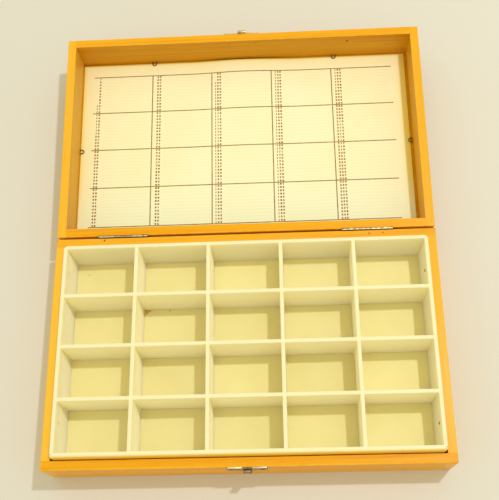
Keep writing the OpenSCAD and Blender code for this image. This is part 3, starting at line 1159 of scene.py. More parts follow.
@dataclass
class Studio:
    """The photograph's camera, a plain pale floor and soft light. Places are in millimetres."""

    camera_place: tuple[float, float, float] = (34.086, -170.858, 659.351)
    camera_turn: tuple[float, float, float] = (21.6991, 2.5812, -1.7783)
    sensor: float = 36.0
    focal_pixels: float = 851.76
    image_height: int = 500
    near_clip: float = 10.0
    key_place: tuple[float, float, float] = (491.0, 285.0, 1542.4)
    key_aim: tuple[float, float, float] = (0.0, 90.0, 30.0)
    key_size: float = 55.0
    key_power: float = 8.0
    key_colour: tuple[float, float, float] = (1.0, 1.0, 1.0)
    fill_level: float = 0.8
    fill_colour: Colour = (1.0, 0.925, 0.64, 1.0)
    backdrop_colour: Colour = (1.0, 1.0, 1.0, 1.0)
    backdrop_level: float = 1.0
    floor_colour: Colour = screen_colour(226, 225, 222)
    floor_roughness: float = 0.9
    floor_specular: float = 0.1
    floor_size: float = 6000.0

    def build(self) -> None:
        """Makes the camera, the lights and the floor."""
        self._camera()
        self._key()
        self._world()
        self._floor()
        bpy.context.scene.view_settings.view_transform = "Standard"
        log.info("studio: camera, key light, fill and floor")

    def _camera(self) -> None:
        """Makes the camera that the photograph was taken from."""
        data = bpy.data.cameras.new("camera")
        data.sensor_fit = "AUTO"
        data.sensor_width = self.sensor
        data.lens = self.focal_pixels / self.image_height * self.sensor
        data.clip_start = self.near_clip * MM
        camera = new_object("camera", data)
        camera.location = Vector(self.camera_place) * MM
        camera.rotation_mode = "ZYX"
        camera.rotation_euler = [math.radians(part) for part in self.camera_turn]
        bpy.context.scene.camera = camera

    def _key(self) -> None:
        """Makes the key light, high behind the box at the right."""
        data = bpy.data.lights.new("key", "AREA")
        data.shape = "SQUARE"
        data.size = self.key_size * MM
        data.energy = self.key_power
        data.color = self.key_colour
        key = new_object("key", data)
        key.location = Vector(self.key_place) * MM
        aim = Vector(self.key_aim) * MM - key.location
        key.rotation_mode = "QUATERNION"
        key.rotation_quaternion = aim.to_track_quat("-Z", "Y")

    def _world(self) -> None:
        """Makes an even fill, which the camera and reflections see as white."""
        world = bpy.data.worlds.new("studio")
        world.use_nodes = True
        bpy.context.scene.world = world
        graph = Graph(world.node_tree)
        path = graph.add("LightPath")
        seen = graph.math("MAXIMUM", path.outputs["Is Camera Ray"], path.outputs["Is Glossy Ray"])
        seen = graph.math("MAXIMUM", seen, path.outputs["Is Transmission Ray"])
        settings = {
            "Color": graph.mix(seen, self.fill_colour, self.backdrop_colour),
            "Strength": graph.remap(seen, 0.0, 1.0, self.fill_level, self.backdrop_level),
        }
        graph.fill(world.node_tree.nodes["Background"], settings)

    def _floor(self) -> None:
        """Makes the floor, which isn't part of the object."""
        bm = bmesh.new()
        bmesh.ops.create_grid(bm, x_segments=1, y_segments=1, size=self.floor_size / 2 * MM)
        mesh = bpy.data.meshes.new("floor")
        bm.to_mesh(mesh)
        bm.free()
        floor = new_object("floor", mesh)
        settings = {
            "Base Color": self.floor_colour,
            "Roughness": self.floor_roughness,
            "Specular IOR Level": self.floor_specular,
        }
        mesh.materials.append(Paint("floor").finish(settings))


class Run(Enum):
    """Which boards a board belongs to, and the way that it and its grain run with the lid shut."""

    FRONT_AND_BACK = Grain.ALONG_X
    SIDES = Grain.ALONG_Y


@dataclass
class BoardFrame:
    """Four comb-jointed boards round a panel, all in millimetres with the lid shut."""

    body: str
    groups: Groups
    width: float
    depth: float
    low: float
    high: float
    rim_up: bool
    fingers: int
    rim_run: Run
    turn: Matrix
    board_t: float
    panel_t: float
    leaf_w: float
    leaf_h: float
    leaf_t: float
    hinge_x: float
    spots: dict[str, tuple[Spot, ...]] = field(default_factory=dict)
    bleach: dict[str, float] = field(default_factory=dict)
    panel_seat: float = 3.0
    panel_gap: float = 0.1
    leaf_gap: float = 0.1
    outer_round: float = 0.8
    rim_round: float = 0.4
    joint_round: float = 0.1
    steps: int = 3
    panel_steps: int = 2
    finish: WoodFinish = WoodFinish()

    @property
    def rim(self) -> float:
        """Height of the rim that meets the other half of the box."""
        return self.high if self.rim_up else self.low

    @property
    def finger_h(self) -> float:
        """Height of one finger of the comb joints."""
        return (self.high - self.low) / self.fingers

    @property
    def half_leaf(self) -> float:
        """Half the width of a hinge leaf's seat."""
        return self.leaf_w / 2 + self.leaf_gap

    @property
    def panel_span(self) -> tuple[float, float]:
        """Lowest and highest place of the panel."""
        low, high, thick = self.low, self.high, self.panel_t
        return (low, low + thick) if self.rim_up else (high - thick, high)

    @property
    def leaf_span(self) -> tuple[float, float]:
        """Lowest and highest place of the hinge leaves' seats."""
        reach = self.leaf_h + self.leaf_gap
        return (self.rim - reach, self.rim) if self.rim_up else (self.rim, self.rim + reach)

    def build(self) -> None:
        """Builds the boards and the panel."""
        for side, front, across in ((-1, "front", "left"), (1, "back", "right")):
            self._board(front, Run.FRONT_AND_BACK, side)
            self._board(across, Run.SIDES, side)
        self._panel()

    def _wood(self, name: str, grain: Grain) -> bpy.types.Material:
        """Makes the wood of one board, shifted by a seed from its name.

        Args:
            name: The board's name.
            grain: Direction of its grain.

        Returns:
            The material.
        """
        draw = random.Random(name)
        shift = [draw.uniform(-2.0, 2.0) for _ in range(3)]
        bleach, spots = self.bleach.get(name, 0.0), self.spots.get(name, ())
        return self.finish.material(self.groups, name, grain, self.turn, shift, bleach, spots)

    def _own(self, run: Run, z: float) -> bool:
        """Tells whether boards that run this way hold the finger at a height."""
        finger = int(abs(z - self.rim) / self.finger_h)
        return (finger % 2 == 0) == (run is self.rim_run)

    def _columns(self, reach: float, hinged: bool) -> list[float]:
        """Gives the places along a board where its shape changes.

        Args:
            reach: Half of its length.
            hinged: Whether it has seats for hinge leaves.

        Returns:
            The places, in rising order.
        """
        inner = reach - self.board_t
        rabbet = inner + self.panel_seat
        ends = [-reach, -rabbet, -inner, inner, rabbet, reach]
        leaves = [s * self.hinge_x + e * self.half_leaf for s in (-1, 1) for e in (-1, 1)]
        return sorted(ends + (leaves if hinged else []))

    def _heights(self, hinged: bool) -> list[float]:
        """Gives the heights where a board's shape changes.

        Args:
            hinged: Whether it has seats for hinge leaves.

        Returns:
            The heights, in rising order.
        """
        places = [self.low + i * self.finger_h for i in range(self.fingers + 1)]
        places += self.panel_span + (self.leaf_span if hinged else ())
        return sorted({round(place, 4) for place in places})

    def _outline(self, run: Run, reach: float, hinged: bool) -> bmesh.types.BMesh:
        """Draws a board's face with its fingers, flat, with its length along X.

        Args:
            run: Which way the board runs.
            reach: Half of its length.
            hinged: Whether it has seats for hinge leaves.

        Returns:
            The face on z = 0, with the board's height along Y.
        """
        bm = lattice(self._columns(reach, hinged), self._heights(hinged))
        middles = {face: face.calc_center_median() for face in bm.faces}
        spare = [
            face
            for face, middle in middles.items()
            if abs(middle.x) > reach - self.board_t and not self._own(run, middle.y)
        ]
        bmesh.ops.delete(bm, geom=spare, context="FACES")
        return bm

    def _board(self, word: str, run: Run, side: int) -> None:
        """Builds one board.

        Args:
            word: Its side of the box.
            run: Which way it runs.
            side: -1 for the front or left board, 1 for the back or right one.
        """
        long = run is Run.FRONT_AND_BACK
        half_w, half_d = self.width / 2, self.depth / 2
        reach, across = (half_w, half_d) if long else (half_d, half_w)
        rabbet = reach - self.board_t + self.panel_seat
        hinged = word == "back"
        seat = self.leaf_t if hinged else 0.0
        panel_low, panel_high = self.panel_span
        leaf_low, leaf_high = self.leaf_span
        outward = Vector((0, side, 0)) if long else Vector((side, 0, 0))

        bm = self._outline(run, reach, hinged)
        start = side * (across - seat)
        for vert in bm.verts:
            along, z = vert.co.x, vert.co.y
            vert.co = (along, start, z) if long else (start, along, z)

        def spot_of(face: bmesh.types.BMFace) -> tuple[float, float]:
            """Gives a face's place along the board, and its height."""
            middle = face.calc_center_median()
            return (middle.x if long else middle.y), middle.z

        def in_rabbet(face: bmesh.types.BMFace) -> bool:
            """Tells whether a face lies where the panel seats."""
            along, z = spot_of(face)
            return abs(along) < rabbet and panel_low < z < panel_high

        def in_leaf_seat(face: bmesh.types.BMFace) -> bool:
            """Tells whether a face lies where a hinge leaf seats."""
            along, z = spot_of(face)
            return abs(abs(along) - self.hinge_x) < self.half_leaf and leaf_low < z < leaf_high

        sheet = bm.faces[:]
        inward = extrude(bm, sheet, -outward * (self.board_t - self.panel_seat - seat), keep=True)
        extrude(bm, [f for f in inward if not in_rabbet(f)], -outward * self.panel_seat)
        if hinged:
            extrude(bm, [f for f in sheet if not in_leaf_seat(f)], outward * seat)
        bmesh.ops.recalc_face_normals(bm, faces=bm.faces)
        bmesh.ops.dissolve_limit(bm, angle_limit=FLAT, verts=[], edges=bm.edges)
        weigh_edges(bm, self._rounding, self.outer_round)

        name = f"{self.body}_{word}_board"
        tag = Tag(f"{name}_wood", self.body, "varnished_wood", (name,))
        grain = Vector((long, not long, 0))
        wood = self._wood(name, run.value)
        rounding = (self.outer_round, self.steps)
        place_piece(bm, tag, wood, self.turn, rounding, grain, self._tone)

    def _tone(self, middle: Vector) -> float:
        """Tones a face: the faces inside the box get a painted shade.

        Args:
            middle: Middle of a face, in metres.

        Returns:
            0 for a face that looks into the box, and 1 for any other.
        """
        near = 0.05
        inside_x = abs(middle.x / MM) < self.width / 2 - self.board_t + near
        inside_y = abs(middle.y / MM) < self.depth / 2 - self.board_t + near
        return 0.0 if inside_x and inside_y else 1.0

    def _rounding(self, edge: bmesh.types.BMEdge) -> float:
        """Gives the rounding of an edge by the faces of the box that it lies on.

        Args:
            edge: The edge.

        Returns:
            The width of its rounding.
        """
        if not edge.is_convex:
            return 0.0
        near = 0.01

        def lies(axis: int, place: float) -> bool:
            """Tells whether the edge lies in a plane, or in its mirror image."""
            return all(abs(abs(v.co[axis]) - place) < near for v in edge.verts)

        half_w, half_d = self.width / 2, self.depth / 2
        faces = lies(0, half_w) + lies(1, half_d) + lies(2, self.low) + lies(2, self.high)
        if faces > 1:
            return self.outer_round
        inner_w, inner_d = half_w - self.board_t, half_d - self.board_t
        middle = (edge.verts[0].co + edge.verts[1].co) / 2
        beside = lies(0, inner_w) and abs(middle.y) < inner_d
        before = lies(1, inner_d) and abs(middle.x) < inner_w
        if (beside or before) and lies(2, self.rim):
            return self.rim_round
        return self.joint_round

    def _panel(self) -> None:
        """Builds the panel that seats in the boards' rabbets."""
        panel_low, panel_high = self.panel_span
        half_w, half_d = (
            size / 2 - self.board_t + self.panel_seat - self.panel_gap
            for size in (self.width, self.depth)
        )
        bm = lattice([-half_w, half_w], [-half_d, half_d])
        bmesh.ops.translate(bm, vec=(0, 0, panel_low), verts=bm.verts)
        extrude(bm, bm.faces[:], Vector((0, 0, panel_high - panel_low)), keep=True)
        weigh_edges(bm, lambda edge: self.joint_round, self.joint_round)
        name = "base_bottom_panel" if self.rim_up else "lid_panel"
        tag = Tag(f"{name}_wood", self.body, "panel_wood", (name,))
        wood = self._wood(name, Grain.ALONG_X)
        rounding = (self.joint_round, self.panel_steps)
        place_piece(bm, tag, wood, self.turn, rounding, Vector((1, 0, 0)), self._tone)


@dataclass
class Tray:
    """The moulded tray and the card that lines each compartment, in millimetres."""

    groups: Groups
    columns: int = 5
    rows: int = 4
    wall: float = 2.8
    shoulder: float = 1.8
    front_round: float = 2.3
    floor_t: float = 2.0
    corner_r: float = 3.2
    corner_steps: int = 8
    rim_round: float = 0.4
    cell_round: float = 0.4
    foot_round: float = 0.8
    draft: float = 0.25
    steps: int = 5
    end_reach: float = 1.0
    lining_t: float = 0.4
    lining_gap: float = 0.1
    lining_wave: float = 0.12
    lining_wave_length: float = 18.0
    lining_cells: tuple[int, int] = (10, 8)
    torn: tuple[int, int] = (1, 2)
    torn_size: tuple[float, float] = (6.4, 4.6)
    stain: Colour = screen_colour(232, 192, 20)
    stain_radius: float = 9.0
    stain_depth: float = 6.0
    plastic: MottledFinish = MottledFinish(
        name="ivory_plastic",
        mottle=Mottle(
            main=screen_colour(255, 244, 204),
            cloud=screen_colour(254, 240, 194),
            speck=screen_colour(196, 160, 92),
            cloud_scale=26.0,
            cloud_amount=0.6,
            speck_amount=0.25,
        ),
        edge=screen_colour(255, 248, 214),
        edge_amount=0.7,
        roughness=0.42,
        specular=0.12,
        subsurface=0.7,
        relief=(0.25, 0.00003),
        glow_depth=5.0,
        glow_reach=(1.0, 1.0, 1.1),
        # A painted shade with reflected orange wood light along the front face.
        toned=screen_colour(226, 176, 52),
    )
    card: MottledFinish = MottledFinish(
        name="lining_card",
        mottle=Mottle(
            main=screen_colour(244, 239, 182),
            cloud=screen_colour(239, 232, 168),
            speck=screen_colour(120, 92, 30),
            cloud_scale=35.0,
            cloud_amount=0.6,
            speck_amount=0.35,
        ),
        edge=screen_colour(226, 206, 118),
        edge_amount=0.3,
        roughness=0.7,
        specular=0.25,
        subsurface=0.0,
        relief=(0.25, 0.00006),
        tone_span=0.05,
    )

    def __post_init__(self) -> None:
        """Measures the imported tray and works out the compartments."""
        self.low, self.high = base_box("compartment_tray")
        self.front = self.low.y + self.shoulder
        self.middle_y = (self.front + self.high.y) / 2
        self.cell_w = (self.high.x - self.low.x - (self.columns + 1) * self.wall) / self.columns
        self.cell_d = (self.high.y - self.front - (self.rows + 1) * self.wall) / self.rows
        self.pitch_x = self.cell_w + self.wall
        self.pitch_y = self.cell_d + self.wall
        self.floor_z = self.low.z + self.floor_t

    def build(self) -> None:
        """Builds the tray and its linings."""
        self._tray()
        self._linings()

    def _lines(self, low: float, size: float, count: int) -> list[float]:
        """Gives both faces of every wall along one axis.

        Args:
            low: Place of the first wall.
            size: Size of a compartment.
            count: How many there are.

        Returns:
            The places, in rising order.
        """
        places = []
        for i in range(count + 1):
            start = low + i * (size + self.wall)
            places += [start, start + self.wall]
        return places

    def _tray(self) -> None:
        """Builds the tray: walls from a lattice, compartments pushed down into it."""
        columns = self._lines(self.low.x, self.cell_w, self.columns)
        rows = self._lines(self.front, self.cell_d, self.rows)
        rows[0] = self.low.y
        bm = lattice(columns, rows)
        self._round_corners(bm, columns, rows)

        def is_cell(face: bmesh.types.BMFace) -> bool:
            """Tells whether a face of the lattice is a compartment.

            Args:
                face: The face.

            Returns:
                Whether it is one.
            """
            middle = face.calc_center_median()
            across = (middle.x - columns[0]) % self.pitch_x
            along = (middle.y - self.front) % self.pitch_y
            return across > self.wall and along > self.wall and len(face.verts) == 4

        top = bm.faces[:]
        cells = [face for face in top if is_cell(face)]
        bmesh.ops.translate(bm, vec=(0, 0, self.high.z), verts=bm.verts)
        extrude(bm, top, Vector((0, 0, self.low.z - self.high.z)), keep=True)
        foot = self.low.z + self.end_reach
        under = [e for e in bm.edges if all(v.co.z < foot for v in e.verts)]
        bmesh.ops.dissolve_limit(bm, angle_limit=FLAT, verts=[], edges=under)
        for cell in cells:
            floor = extrude(bm, [cell], Vector((0, 0, self.floor_z - self.high.z)))
            middle = floor[0].calc_center_median()
            for vert in floor[0].verts:
                vert.co.x += math.copysign(self.draft, middle.x - vert.co.x)
                vert.co.y += math.copysign(self.draft, middle.y - vert.co.y)
        weigh_edges(bm, self._rounding, self.front_round)
        tag = Tag("tray_moulding", "base", "tray_plastic", ("compartment_tray",))
        left, back, floor = self._torn_corner()
        stain = Spot(left, back, floor - self.stain_depth, self.stain_radius, self.stain)
        # The front face gets the painted shade.
        plastic = self.plastic.material(self.groups, (stain,), self.low.y)
        place_piece(bm, tag, plastic, rounding=(self.front_round, self.steps))

    def _torn_corner(self) -> Vector:
        """Gives the corner of the tray's floor that the torn lining leaves bare.

        Returns:
            The corner.
        """
        column, row = self.torn
        left = self.low.x + self.wall + column * self.pitch_x
        return Vector((left, self.front + (row + 1) * self.pitch_y, self.floor_z))

    def _round_corners(
        self, bm: bmesh.types.BMesh, columns: Sequence[float], rows: Sequence[float]
    ) -> None:
        """Rounds the four upright corners in the plan, before it is extruded.

        Args:
            bm: The plan.
            columns: Places of its lines along X.
            rows: Places of its lines along Y.
        """
        near = 0.01

        def at_end(place: float, line: Sequence[float]) -> bool:
            """Tells whether a place lies at the first or the last of the lines."""
            return min(abs(place - line[0]), abs(place - line[-1])) < near

        for vert in bm.verts:
            for line, axis, other, ends in ((columns, 0, 1, rows), (rows, 1, 0, columns)):
                on_side = at_end(vert.co[other], ends)
                if on_side and abs(vert.co[axis] - line[1]) < near:
                    vert.co[axis] = line[0] + self.corner_r
                elif on_side and abs(vert.co[axis] - line[-2]) < near:
                    vert.co[axis] = line[-1] - self.corner_r
        corners = [v for v in bm.verts if at_end(v.co.x, columns) and at_end(v.co.y, rows)]
        bevel(bm, corners, self.corner_r - near, self.corner_steps, "VERTICES")
        bmesh.ops.remove_doubles(bm, verts=bm.verts, dist=near * 3)

    def _on_outline(self, place: Vector) -> bool:
        """Tells whether a place lies on the tray's outer face, its rounded corners included.

        Args:
            place: The place.

        Returns:
            Whether it lies there.
        """
        near = 0.2
        in_x = min(place.x - self.low.x, self.high.x - place.x)
        in_y = min(place.y - self.low.y, self.high.y - place.y)
        if min(in_x, in_y) < near:
            return True
        from_middle = math.hypot(self.corner_r - in_x, self.corner_r - in_y)
        return max(in_x, in_y) < self.corner_r and abs(from_middle - self.corner_r) < near

    def _rounding(self, edge: bmesh.types.BMEdge) -> float:
        """Gives the rounding of an edge of the tray.

        Args:
            edge: The edge.

        Returns:
            The width of its rounding.
        """
        low, high = sorted(vert.co.z for vert in edge.verts)
        rim, foot = self.high.z - self.end_reach, self.low.z + self.end_reach
        if low > rim:
            outer = all(self._on_outline(vert.co) for vert in edge.verts)
            return self._outer_rounding(edge) if outer else self.cell_round
        if high < self.floor_z + self.end_reach:
            return self.foot_round if high < foot else 0.0
        return self.cell_round if high > rim and low > foot else 0.0

    def _outer_rounding(self, edge: bmesh.types.BMEdge) -> float:
        """Gives the rounding of an outer edge of the rim, which widens round the front corners.

        Args:
            edge: The edge.

        Returns:
            The width of its rounding.
        """
        middle = (edge.verts[0].co + edge.verts[1].co) / 2
        from_front = min((middle.y - self.low.y) / self.corner_r, 1.0)
        return self.front_round + (self.rim_round - self.front_round) * math.sqrt(from_front)

    def _linings(self) -> None:
        """Builds the twenty linings, a little wavy, one with a torn corner."""
        whole = bmesh.new()
        for column in range(self.columns):
            for row in range(self.rows):
                self._lining(whole, column, row)
        tag = Tag("compartment_lining_cards", "base", "lining_card", ("compartment_linings",))

        def tone(middle: Vector) -> float:
            """Gives each lining a tone of its own.

            Args:
                middle: Middle of a face, in metres.

            Returns:
                The tone.
            """
            column = round(middle.x / MM / self.pitch_x)
            row = round((middle.y / MM - self.middle_y) / self.pitch_y + 0.5)
            return random.Random(column * 31 + row).random()

        top = self.floor_z + self.lining_t
        specks = (
            Spot(-130.0, 71.0, top, 0.7, screen_colour(200, 180, 88)),
            Spot(-62.6, 38.2, top, 1.0, screen_colour(214, 194, 96)),
        )
        place_piece(whole, tag, self.card.material(self.groups, specks), tones=tone)

    def _lining(self, whole: bmesh.types.BMesh, column: int, row: int) -> None:
        """Adds one lining to the mesh of them all.

        Args:
            whole: The mesh of them all.
            column: The compartment's column.
            row: The compartment's row.
        """
        shrink = self.lining_gap + self.draft
        half_w = self.cell_w / 2 - shrink
        half_d = self.cell_d / 2 - shrink
        middle_x = (column - (self.columns - 1) / 2) * self.pitch_x
        middle_y = self.middle_y + (row - (self.rows - 1) / 2) * self.pitch_y
        across, along = self.lining_cells
        bm = lattice(spaced(-half_w, half_w, across), spaced(-half_d, half_d, along))
        if (column, row) == self.torn:
            self._tear(bm, half_w, half_d)
        bmesh.ops.translate(bm, vec=(middle_x, middle_y, self.floor_z), verts=bm.verts)
        for vert in bm.verts:
            wave = 0.5 + 0.5 * noise.noise(vert.co / self.lining_wave_length)
            vert.co.z += self.lining_wave * wave
        extrude(bm, bm.faces[:], Vector((0, 0, self.lining_t)), keep=True)
        bmesh.ops.recalc_face_normals(bm, faces=bm.faces)
        mesh = bpy.data.meshes.new("lining")
        bm.to_mesh(mesh)
        bm.free()
        whole.from_mesh(mesh)
        bpy.data.meshes.remove(mesh)

    def _tear(self, bm: bmesh.types.BMesh, half_w: float, half_d: float) -> None:
        """Cuts the far left corner off a lining along a slanted line.

        Args:
            bm: The lining, flat about the origin.
            half_w: Half of its width.
            half_d: Half of its depth.
        """
        exact = 0.0001
        wide, deep = self.torn_size
        corner = Vector((-half_w, half_d, 0))
        normal = Vector((-deep, wide, 0)).normalized()
        bmesh.ops.bisect_plane(
            bm,
            geom=bm.verts[:] + bm.edges[:] + bm.faces[:],
            dist=exact,
            plane_co=corner + Vector((wide, 0, 0)),
            plane_no=normal,
            clear_outer=True,
        )


@dataclass
class IndexCard:
    """The printed card in the lid, with its numbers, in millimetres on its own page."""

    groups: Groups
    lid: Lid
    ruling: Ruling = Ruling()
    cells: tuple[int, int] = (72, 42)
    thickness: float = 0.3
    bow_height: float = 2.1
    bow_width: float = 100.0
    bow_low: float = 30.0
    bow_high: float = 150.0
    ripple: float = 0.12
    ripple_length: float = 30.0
    digit_h: float = 1.45
    digit_wide: float = 1.35
    digit_pitch: float = 2.15
    digit_bold: float = 0.15
    last_digit: tuple[float, ...] = (5.0, 6.1, 6.8, 7.1, 7.2)
    digit_lift: float = 0.03
    digit_curve_steps: int = 3
    digit_share: float = 0.691
    column_tones: tuple[float, ...] = (0.25, 0.35, 0.8, 0.75, 0.85)

    def __post_init__(self) -> None:
        """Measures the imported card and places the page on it."""
        low, high = self.lid.shut_box("index_card")
        self.width = high.x - low.x
        self.depth = high.y - low.y
        corner = Matrix.Translation((low.x, high.y, low.z))
        self.page = corner @ Matrix.Rotation(math.pi, 4, "X")
        self.middle = -low.x

    def build(self) -> None:
        """Builds the card and its numbers."""
        self._sheet()
        self._numbers()

    def height(self, across: float, up: float) -> float:
        """Bows the card between the clips.

        Args:
            across: Place from the card's left edge.
            up: Place from its hinge edge.

        Returns:
            How far the face stands off its flat place.
        """
        from_middle = (across - self.middle) / self.bow_width
        bow = math.cos(math.pi * from_middle) ** 2 if abs(from_middle) < 0.5 else 0.0
        share = min(max((up - self.bow_low) / (self.bow_high - self.bow_low), 0.0), 1.0)
        fade = share * share * (3 - 2 * share)
        ripple = self.ripple * noise.noise(Vector((across, up, 0)) / self.ripple_length)
        return self.bow_height * bow * fade + ripple

    def _sheet(self) -> None:
        """Builds the card as a thin bowed sheet with a page map."""
        across, up = self.cells
        bm = lattice(spaced(0.0, self.width, across), spaced(0.0, self.depth, up))
        layer = bm.loops.layers.uv.new("page")
        for vert in bm.verts:
            vert.co.z = self.height(vert.co.x, vert.co.y)
        extrude(bm, bm.faces[:], Vector((0, 0, -self.thickness)), keep=True)
        for face in bm.faces:
            for loop in face.loops:
                loop[layer].uv = (loop.vert.co.x / self.width, loop.vert.co.y / self.depth)
        bm.transform(self.page)
        tag = Tag("index_card_sheet", "lid", "index_card", ("index_card",))
        finish = CardFinish(self.ruling).material(self.groups, self.width, self.depth)
        place_piece(bm, tag, finish, self.lid.opened)

    def _digits(self) -> list[bpy.types.Mesh]:
        """Makes the ten digits as flat meshes of one height.

        Returns:
            The meshes, from 0 to 9.
        """
        shapes = []
        for digit in range(10):
            curve = bpy.data.curves.new("digit", "FONT")
            curve.body = str(digit)
            curve.size = self.digit_h / self.digit_share
            curve.resolution_u = self.digit_curve_steps
            curve.offset = self.digit_bold
            text = bpy.data.objects.new("digit", curve)
            shapes.append(bpy.data.meshes.new_from_object(text))
            bpy.data.objects.remove(text)
            bpy.data.curves.remove(curve)
        return shapes

    def _numbers(self) -> None:
        """Prints one plain number for each line of the card, counted down the columns."""
        rule = self.ruling
        shapes = self._digits()
        bm = bmesh.new()
        number = 0
        for column in range(rule.columns):
            start = rule.column_start + column * rule.column_pitch
            right = start + self.last_digit[column]
            for line in range(rule.rows * rule.lines):
                number += 1
                up = rule.high - (line + 0.5) * rule.line_pitch - self.digit_h / 2
                for place, digit in enumerate(reversed(str(number))):
                    shape = shapes[int(digit)].copy()
                    there = Matrix.Translation((right - place * self.digit_pitch, up, 0))
                    shape.transform(there @ Matrix.Diagonal((self.digit_wide, 1, 1, 1)))
                    bm.from_mesh(shape)
                    bpy.data.meshes.remove(shape)
        for shape in shapes:
            bpy.data.meshes.remove(shape)
        for vert in bm.verts:
            vert.co.z = self.height(vert.co.x, vert.co.y) + self.digit_lift
        bm.transform(self.page)
        tag = Tag("index_card_numbers", "lid", "index_card", ())
        left = -self.middle + rule.column_start

        def tone(middle: Vector) -> float:
            """Gives the tone of the column that a number stands in."""
            column = int((middle.x / MM - left) / rule.column_pitch)
            return self.column_tones[min(column, rule.columns - 1)]

        piece = place_piece(bm, tag, InkFinish().material(), self.lid.opened, tones=tone)
        log.info("%s: %d numbers", piece.name, number)


@dataclass(frozen=True)
class Dressing:
    """A packed metal piece's finish, material slot and rounding in millimetres."""

    material: bpy.types.Material
    slot: str
    width: float


